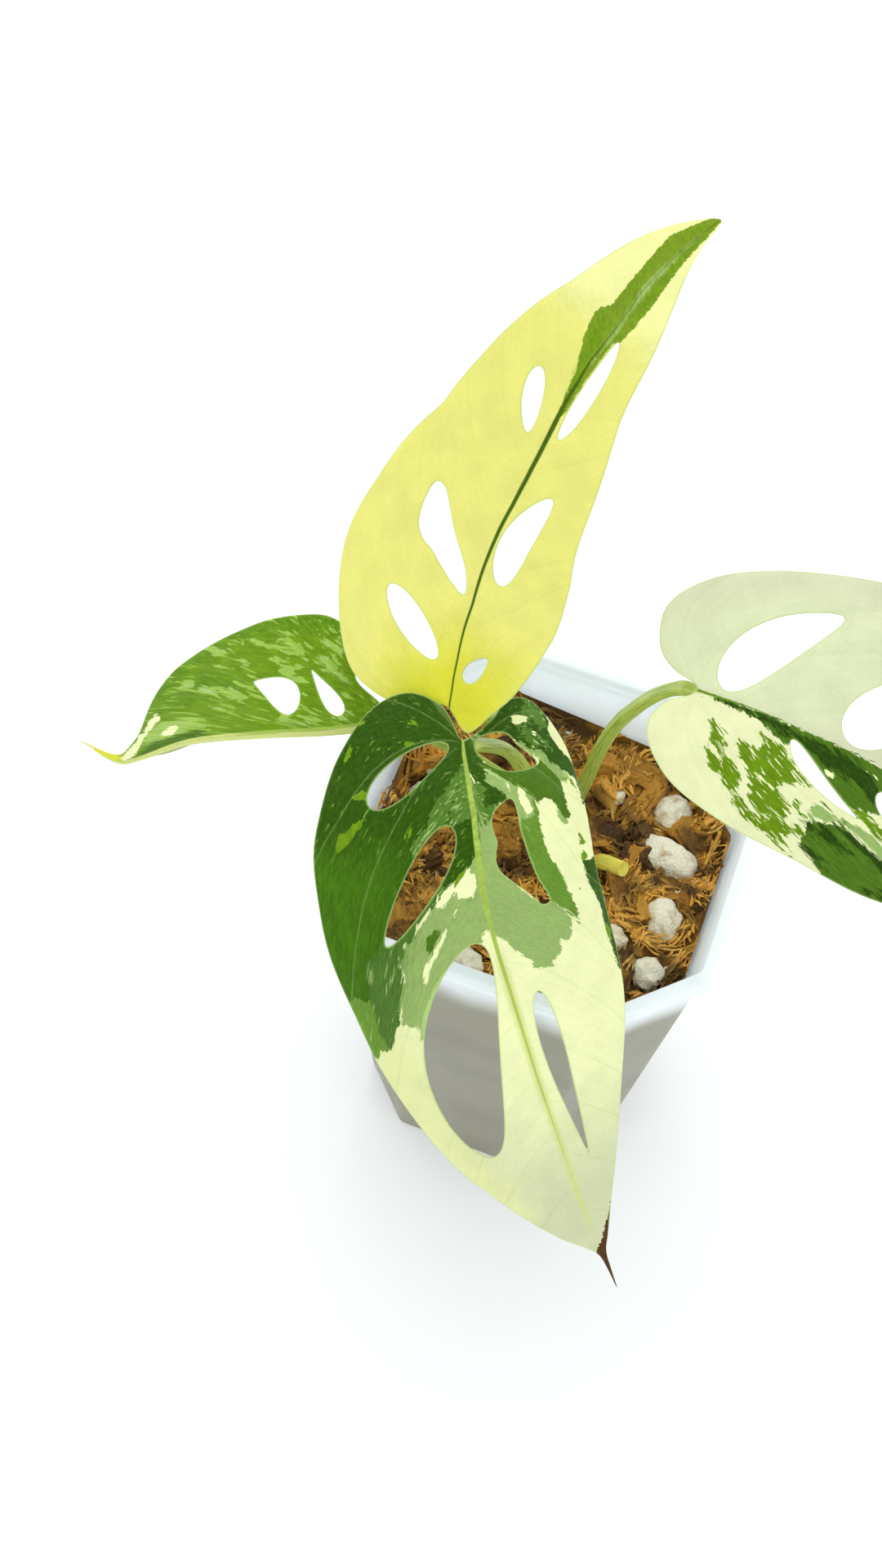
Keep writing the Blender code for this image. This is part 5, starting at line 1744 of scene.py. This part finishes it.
@dataclass
class Substrate:
    """Coco husk: a bumpy bed, chips half sunk in it, loose fibres and small perlite grains."""

    pot: Pot
    level: float = 95.0
    relief: float = 1.6
    crust: float = 0.9
    roughness: float = 0.3
    gap: float = 0.3
    spacing: float = 1.1
    chip_count: int = 120
    chip_halves: tuple = ((3.5, 2.0, 1.4), (7.0, 3.6, 2.4))
    chip_seed: int = 7
    small_count: int = 300
    small_halves: tuple = ((1.2, 0.7, 0.5), (3.2, 1.8, 1.2))
    small_seed: int = 11
    tuft_count: int = 520
    tuft_strands: int = 14
    tuft_seed: int = 19
    grain_count: int = 110
    grain_seed: int = 23
    taken: tuple = ((-3.0, 19.0, 9.0), (13.0, 7.0, 8.0))
    bank: tuple[float, float] = (3.5, 15.0)

    @property
    def reach(self) -> float:
        """Half the pot's inner width at the bed's level."""
        return self.pot.wall_half(self.level) - self.pot.wall

    def nearness(self, x: np.ndarray, y: np.ndarray) -> np.ndarray:
        """How near a place is to the wall, from 0 in the middle to 1 at the wall: the larger of |x|, |y|
        and the cut corner's (|x| + |y|) / (2 - 2 cut), over the wall's reach."""
        corner = (np.abs(x) + np.abs(y)) / (2 - 2 * self.pot.cut_corner)
        return np.maximum(np.maximum(np.abs(x), np.abs(y)), corner) / self.reach

    def hold_inside(self, x: np.ndarray, y: np.ndarray, room: float) -> tuple[np.ndarray, np.ndarray]:
        """Draws points in towards the middle as far as they stand too near to the wall.

        Args:
            x: their x.
            y: their y.
            room: the least distance to the wall.

        Returns:
            The new x and y.
        """
        limit = 1 - room / self.reach
        share = np.minimum(limit / np.maximum(self.nearness(x, y), 1e-6), 1.0)
        return x * share, y * share

    def height(self, x: np.ndarray, y: np.ndarray) -> np.ndarray:
        """Height of the bed's top: the level with wide low bumps and a rough crust from noise, banked up
        at the wall, most towards -X and +Y, and flat round the large lumps.

        Args:
            x: places' x.
            y: places' y.

        Returns:
            The heights.
        """
        place = np.column_stack([x, y, np.zeros_like(x)])
        near = np.clip((self.nearness(x, y) - 0.62) / 0.38, 0, 1)
        left = np.clip(-x / 26, 0, 1) * np.clip(y / 24 + 0.8, 0, 1)
        corner = np.maximum(left, 0.3 * np.clip(y / 30, 0, 1))
        bank = self.bank[0] + (self.bank[1] - self.bank[0]) * corner
        bank = bank * near * np.clip(self.lump_distance(x, y) - 1, 0, 1)
        bumps = self.relief * value_noise(place / 9.0, 3)
        return self.level + bank + bumps + self.crust * layered_noise(place / 2.6, 9)

    def make_bed(self) -> bpy.types.Object:
        """The filling: the pot's inner form with a rough top.

        Returns:
            The new object.
        """
        side = self.reach - self.gap
        low = self.pot.floor + self.gap
        outline = self.pot.ring(side, 0.0)[:, :2]
        flat, faces = fill_flat([outline], self.spacing)
        share = (self.pot.wall_half(low) - self.pot.wall - self.gap) / side
        rim = clearance(flat, outline) < 0.05
        top = np.column_stack([flat, self.height(*flat.T)])
        loop = np.where(rim)[0]
        angle = np.arctan2(flat[loop, 1], flat[loop, 0])
        loop = loop[np.argsort(angle)]
        foot = np.column_stack([flat[loop] * share, np.full(len(loop), low)])
        count = len(flat)
        ring = np.arange(len(loop))
        after = np.roll(ring, -1)
        walls = np.column_stack([loop, loop[after], count + after, count + ring])
        faces = faces.tolist() + walls.tolist() + [(count + ring).tolist()]
        return make_piece("Substrate_Bed", np.vstack([top, foot]), faces, 80.0)

    def block(self, rows: int, columns: int, square: float) -> tuple[np.ndarray, np.ndarray, np.ndarray]:
        """Rounded block: a sphere's grid with its sines and cosines raised to a power, so that it fills
        out towards a box.

        Args:
            rows: rings of the grid.
            columns: points of a ring.
            square: the power: the smaller, the squarer.

        Returns:
            Its points, its quads and its end fans.
        """
        v = np.linspace(-math.pi / 2, math.pi / 2, rows + 2)[1:-1, None]
        u = np.linspace(0, 2 * math.pi, columns, endpoint=False)[None]
        cos_v, sin_v, cos_u, sin_u = (np.sign(values) * np.abs(values) ** square
                                      for values in (np.cos(v), np.sin(v), np.cos(u), np.sin(u)))
        x, y, z = cos_v * cos_u, cos_v * sin_u, sin_v * np.ones_like(u)
        points = np.stack([x.ravel(), y.ravel(), z.ravel()], -1)
        points = np.vstack([points, (0, 0, -1), (0, 0, 1)])
        return points, grid_faces(rows, columns), end_fans(rows, columns)

    def scatter(self, name: str, spots: np.ndarray, lift: np.ndarray, halves: np.ndarray, turns: list,
                form: tuple, seed: int) -> bpy.types.Object:
        """One mesh of many blocks on the bed, each stretched, turned and placed, its surface roughened.

        Args:
            name: the piece's name.
            spots: where the blocks lie, as (x, y).
            lift: how far each middle stands over the bed.
            halves: half lengths, widths and heights.
            turns: each block's Euler angles.
            form: the points, quads and fans of one block.
            seed: seed of the roughness and the tones.

        Returns:
            The new object.
        """
        shape, quads, fans = form
        points, faces = [], []
        places = np.column_stack([spots, self.height(*spots.T) + lift])
        for k, (place, half, turn) in enumerate(zip(places, halves, turns)):
            jitter = 1 + self.roughness * layered_noise(shape * (1.1, 3.4, 3.4) + k * 3.7, seed)
            body = shape * half * jitter[:, None]
            points.append(body @ np.array(Euler(turn).to_matrix()).T + place)
            faces += (quads + k * len(shape)).tolist() + (fans + k * len(shape)).tolist()
        tone = np.repeat(np.random.default_rng(seed).uniform(0, 1, (len(places), 3)), len(shape), axis=0)
        local = np.tile(shape, (len(places), 1))
        return make_piece(name, np.vstack(points), faces, 55.0, {"tone": tone, "local": local})

    def lump_distance(self, x: np.ndarray, y: np.ndarray) -> np.ndarray:
        """Distance to the nearest large lump's middle, as a multiple of that lump's half width.

        Args:
            x: places' x.
            y: places' y.

        Returns:
            The distances.
        """
        nearest = np.full(np.shape(x), 9.0)
        for name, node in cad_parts.items():
            if name.startswith("Perlite_"):
                box = np.array([corner[:] for corner in node.bound_box]) / MM
                low, high = box.min(axis=0), box.max(axis=0)
                middle, half = (high + low) / 2, (high - low) / 2
                nearest = np.minimum(nearest, np.hypot((x - middle[0]) / half[0], (y - middle[1]) / half[1]))
        return nearest

    def free_places(self, draw: np.random.Generator, count: int, room: float) -> np.ndarray:
        """Draws places inside the pot's wall, clear of the stem and the large lumps.

        Args:
            draw: the random draws.
            count: how many places at most.
            room: the least distance to the wall.

        Returns:
            The places, one row each.
        """
        reach = self.reach - room
        spots = draw.uniform(-reach, reach, (count * 3, 2))
        good = np.abs(spots).sum(axis=1) < (2 - 2 * self.pot.cut_corner) * reach
        for x, y, keep in self.taken:
            good &= np.hypot(spots[:, 0] - x, spots[:, 1] - y) > keep * 0.6
        good &= self.lump_distance(*spots.T) > 1.05
        return spots[good][:count]

    def make_chips(self) -> bpy.types.Object:
        """The larger chips of coco husk.

        Returns:
            The new object.
        """
        draw = np.random.default_rng(self.chip_seed)
        spots = self.free_places(draw, self.chip_count, 6.5)
        count = len(spots)
        halves = draw.uniform(*self.chip_halves, (count, 3))
        turns = draw.uniform((-0.35, -0.45, 0), (0.35, 0.45, math.pi), (count, 3)).tolist()
        form = self.block(10, 22, 0.5)
        return self.scatter("Coco_Chips", spots, halves[:, 2] * 0.4, halves, turns, form, 31)

    def make_crumbs(self) -> bpy.types.Object:
        """Small crumbs of husk between the chips.

        Returns:
            The new object.
        """
        draw = np.random.default_rng(self.small_seed)
        spots = self.free_places(draw, self.small_count, 2.2)
        count = len(spots)
        halves = draw.uniform(*self.small_halves, (count, 3))
        lift = draw.uniform(0, 1.6, count)
        turns = draw.uniform(-math.pi, math.pi, (count, 3)).tolist()
        return self.scatter("Coco_Crumbs", spots, lift, halves, turns, self.block(4, 7, 0.7), 37)

    def make_grains(self) -> bpy.types.Object:
        """Small perlite grains.

        Returns:
            The new object.
        """
        draw = np.random.default_rng(self.grain_seed)
        spots = self.free_places(draw, self.grain_count, 3.5)
        count = len(spots)
        halves = draw.uniform(0.5, 1.7, (count, 1)) * draw.uniform(0.8, 1.2, (count, 3))
        lift = draw.uniform(0, 1.2, count)
        turns = draw.uniform(-math.pi, math.pi, (count, 3)).tolist()
        return self.scatter("Perlite_Grains", spots, lift, halves, turns, self.block(5, 8, 0.9), 41)

    def make_tufts(self) -> bpy.types.Object:
        """Frayed husk: each tuft is a sheaf of short strands, three-sided tubes that start close
        together, run nearly side by side and bend apart; each strand has its own length and lift.

        Returns:
            The new object.
        """
        draw = np.random.default_rng(self.tuft_seed)
        spots = self.free_places(draw, self.tuft_count, 1.2)
        tufts, each, steps, sides = len(spots), self.tuft_strands, 5, 3
        count = tufts * each

        def spread(low: float, high: float) -> np.ndarray:
            """A random value for each strand."""
            return draw.uniform(low, high, (count, 1))

        def shared(low: float, high: float) -> np.ndarray:
            """A random value for each tuft, held by all its strands."""
            return np.repeat(draw.uniform(low, high, tufts), each)[:, None]

        heading = shared(0, 2 * math.pi) + spread(-0.35, 0.35)
        width = shared(0.8, 2.6)
        start = np.repeat(spots, each, axis=0) + draw.normal(0, 0.5, (count, 2)) * width
        share = np.linspace(-0.5, 0.5, steps)[None]
        bent = heading + spread(-1.0, 1.0) * share
        step = spread(2.5, 9.0) * shared(0.6, 1.2) / steps
        x = start[:, :1] + np.cumsum(np.cos(bent) * step, axis=1)
        y = start[:, 1:] + np.cumsum(np.sin(bent) * step, axis=1)
        x, y = self.hold_inside(x, y, 0.6)
        base = self.height(x.ravel(), y.ravel()).reshape(x.shape)
        tilt = shared(-0.8, 1.6)
        lift = spread(-0.2, 1.6) + shared(0, 1.8) + tilt * (share + 0.3)
        lift = np.where(self.lump_distance(x, y) > 0.85, lift, -3.0)
        path = np.stack([x, y, np.maximum(base + lift, base - 2.5)], -1)
        radius = spread(0.1, 0.34)[..., None, None] * (1.1 - 1.2 * np.abs(share + 0.1))[..., None, None]
        tangent = unit(np.gradient(path, axis=1) + 1e-9)
        side = unit(np.cross(tangent, (0.1, 0.2, 1.0)))
        up = np.cross(side, tangent)
        angle = np.linspace(0, 2 * math.pi, sides, endpoint=False)[None, None, :, None]
        out = np.cos(angle) * side[:, :, None] * 1.5 + np.sin(angle) * up[:, :, None]
        points = path[:, :, None] + radius * out
        one = grid_faces(steps, sides)
        caps = np.array([(2, 1, 0), (0, 1, 2)]) + np.array([[0], [(steps - 1) * sides]])
        shift = (np.arange(count) * steps * sides)[:, None, None]
        faces = (one + shift).reshape(-1, 4).tolist() + (caps + shift).reshape(-1, 3).tolist()
        tone = np.repeat(draw.uniform(0, 1, (tufts, 3)), each, axis=0) * 0.75
        tone = np.repeat(tone + draw.uniform(0, 0.25, (count, 3)), steps * sides, axis=0)
        local = np.zeros((count * steps * sides, 3))
        return make_piece("Coco_Tufts", points.reshape(-1, 3), faces, 80.0, {"tone": tone, "local": local})

    def build(self, white: bpy.types.Material) -> None:
        """Makes, dresses and places the bed and what lies on it.

        Args:
            white: the perlite's material, for the small grains.
        """
        bed = HuskSkin("Coco bed", Tint.HUSK, Tint.HUSK, lift=0.12).make()
        husk = HuskSkin("Coco chip", Tint.HUSK, Tint.HUSK_LIGHT).make()
        straw = HuskSkin("Coco fibre", Tint.HUSK_LIGHT, Tint.STRAW, lift=-0.02).make()
        settle(self.make_bed(), bed, "coco_mix", ("Substrate",))
        settle(self.make_chips(), husk, "coco_mix", ("Substrate",))
        settle(self.make_crumbs(), husk, "coco_mix", ("Substrate",))
        settle(self.make_tufts(), straw, "coco_mix", ("Substrate",))
        settle(self.make_grains(), white, "perlite", ("Substrate",))


@dataclass
class Perlite:
    """The seven large lumps, refined from the frame's own forms."""

    count: int = 7
    cuts: int = 3
    dent: float = 0.45
    dent_size: float = 2.2
    sink: float = 0.15

    def make(self, node: str) -> bpy.types.Object:
        """A copy of the node's form, smoothed by subdivision and dented by noise along its normals.

        Args:
            node: the node's name.

        Returns:
            The new object.
        """
        work = bmesh.new()
        work.from_mesh(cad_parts[node].data)
        bmesh.ops.remove_doubles(work, verts=work.verts, dist=1e-5)
        bmesh.ops.subdivide_edges(work, edges=work.edges, cuts=self.cuts, use_grid_fill=True, smooth=0.6)
        mesh = bpy.data.meshes.new(node + "_Lump")
        work.to_mesh(mesh)
        work.free()
        count = len(mesh.vertices)
        places, normals = np.empty(count * 3), np.empty(count * 3)
        mesh.vertices.foreach_get("co", places)
        mesh.vertices.foreach_get("normal", normals)
        places, normals = places.reshape(-1, 3), normals.reshape(-1, 3)
        dent = layered_noise(places / MM / self.dent_size, 51) * self.dent - self.sink
        mesh.vertices.foreach_set("co", (places + normals * (dent * MM)[:, None]).ravel())
        mesh.shade_smooth()
        made = bpy.data.objects.new(node + "_Lump", mesh)
        bpy.context.scene.collection.objects.link(made)
        return made

    def build(self) -> bpy.types.Material:
        """Makes and places each lump.

        Returns:
            The material that they share.
        """
        white = PerliteSkin().make()
        for number in range(1, self.count + 1):
            node = f"Perlite_{number}"
            settle(self.make(node), white, "perlite", (node,))
        return white


@dataclass
class Stem:
    """The short stem with its swollen nodes, and the stub of an old petiole."""

    path: Points = ((-3.0, 20.0, 62.0), (-3.0, 19.0, 92.0), (-3.5, 17.5, 106.0), (-4.0, 16.5, 116.0))
    radius: tuple = (3.6, 3.6, 3.3, 2.4)
    nodes: tuple = (0.42, 0.68, 0.9)
    stub_path: Points = ((10.5, 9.0, 90.0), (13.0, 7.0, 98.0), (18.5, 4.5, 102.0))
    stub_radius: tuple = (2.0, 2.0, 1.8)
    sides: int = 28
    roughness: float = 0.03
    swelling: float = 0.35

    def tube(self, name: str, path: np.ndarray, radii: np.ndarray, end_dish: float) -> bpy.types.Object:
        """Slightly rough round tube.

        Args:
            name: the piece's name.
            path: the places along its middle.
            radii: the radius at each place.
            end_dish: how far the middle of the free end lies below its ring.

        Returns:
            The new object.
        """
        tangent = unit(np.gradient(path, axis=0))
        side = unit(np.cross(tangent, (0.2, 1.0, 0.1)))
        angle = ring_angles(self.sides)
        spots = np.column_stack([
            np.repeat(np.arange(len(path)) * 0.4, self.sides),
            np.tile(np.cos(angle) * 2, len(path)),
            np.tile(np.sin(angle) * 2, len(path)),
        ])
        rough = 1 + self.roughness * value_noise(spots, 61)
        run = running_length(path)
        axes = (side, np.cross(side, tangent))
        end = path[-1] - tangent[-1] * end_dish
        radii = radii[:, None] * rough.reshape(len(path), -1)
        return make_tube(name, path, radii, axes, run / run[-1], end, 60.0)

    def build(self) -> None:
        """Makes, dresses and places the stem and the stub."""
        path = catmull_rom(self.path, 24)
        share = np.linspace(0, 1, len(path))
        radii = spread_evenly(self.radius, len(path))
        for node in self.nodes:
            radii = radii + self.swelling * np.exp(-((share - node) / 0.035) ** 2)
        skin = StalkSkin("Stem skin", Tint.PETIOLE, Tint.OLIVE).make()
        settle(self.tube("Stem_Skin", path, radii, -0.4), skin, "stem_skin", ("Stem",))
        path = catmull_rom(self.stub_path, 10)
        radii = spread_evenly(self.stub_radius, len(path))
        skin = StalkSkin("Stub skin", Tint.STUB, Tint.STUB_DARK).make()
        settle(self.tube("Stub_Skin", path, radii, 0.5), skin, "old_petiole", ("Old_Petiole_Stub",))


@dataclass
class Studio:
    """Pale floor, soft light from above and the camera at the picture's viewing angle."""

    camera_place: tuple = (0.0323, -0.2012, 0.4272)
    heading: float = 16.264
    tilt: float = 34.133
    roll: float = 5.417
    lens: float = 37.5
    sensor: float = 36.0
    floor_size: float = 4.0

    def add_camera(self) -> None:
        """The camera, turned by its heading, its tilt from straight down and its roll."""
        data = bpy.data.cameras.new("Camera")
        data.lens, data.sensor_width, data.clip_start = self.lens, self.sensor, 0.01
        camera = bpy.data.objects.new("Camera", data)
        bpy.context.scene.collection.objects.link(camera)
        turns = ((self.heading, "Z"), (self.tilt, "X"), (self.roll, "Z"))
        camera.matrix_world = Matrix.Translation(self.camera_place)
        for angle, axis in turns:
            camera.matrix_world = camera.matrix_world @ Matrix.Rotation(math.radians(angle), 4, axis)
        bpy.context.scene.camera = camera

    def add_floor(self) -> None:
        """Square floor round the origin."""
        half = self.floor_size / 2 / MM
        corners = np.array([(-half, -half, 0), (half, -half, 0), (half, half, 0), (-half, half, 0)])
        floor = make_piece("Floor", corners, [(0, 1, 2, 3)], clean=False)
        floor.data.materials.append(PaleFloor().make())

    def add_light(self, name: str, place: tuple, size: float, power: float) -> None:
        """Adds a square soft light that looks at the plant.

        Args:
            name: its name.
            place: its place in metres.
            size: its side in metres.
            power: its power in watts.
        """
        data = bpy.data.lights.new(name, "AREA")
        data.size, data.energy = size, power
        light = bpy.data.objects.new(name, data)
        bpy.context.scene.collection.objects.link(light)
        light.location = place
        light.rotation_euler = (Vector((0, 0, 0.12)) - Vector(place)).to_track_quat("-Z", "Y").to_euler()

    def build(self) -> None:
        """Sets up the whole studio."""
        self.add_floor()
        self.add_light("Soft light", (-0.35, 0.9, 1.6), 1.6, 8.0)
        world = bpy.data.worlds.new("Studio")
        bpy.context.scene.world = world
        world.use_nodes = True
        back = world.node_tree.nodes["Background"]
        back.inputs["Color"].default_value = (0.97, 0.99, 1.0, 1.0)
        back.inputs["Strength"].default_value = 1.05
        bpy.context.scene.view_settings.view_transform = "Standard"
        self.add_camera()


def main() -> None:
    """Builds the studio, the pot with its filling, the stem and the leaves."""
    logging.basicConfig(level=logging.INFO, format="%(name)s: %(message)s")
    Studio().build()
    pot = Pot()
    pot.build()
    white = Perlite().build()
    Substrate(pot).build(white)
    Stem().build()
    for plan in (UPRIGHT, LEFT, FRONT, RIGHT):
        Leaf(plan).build()


if __name__ == "__main__":
    main()
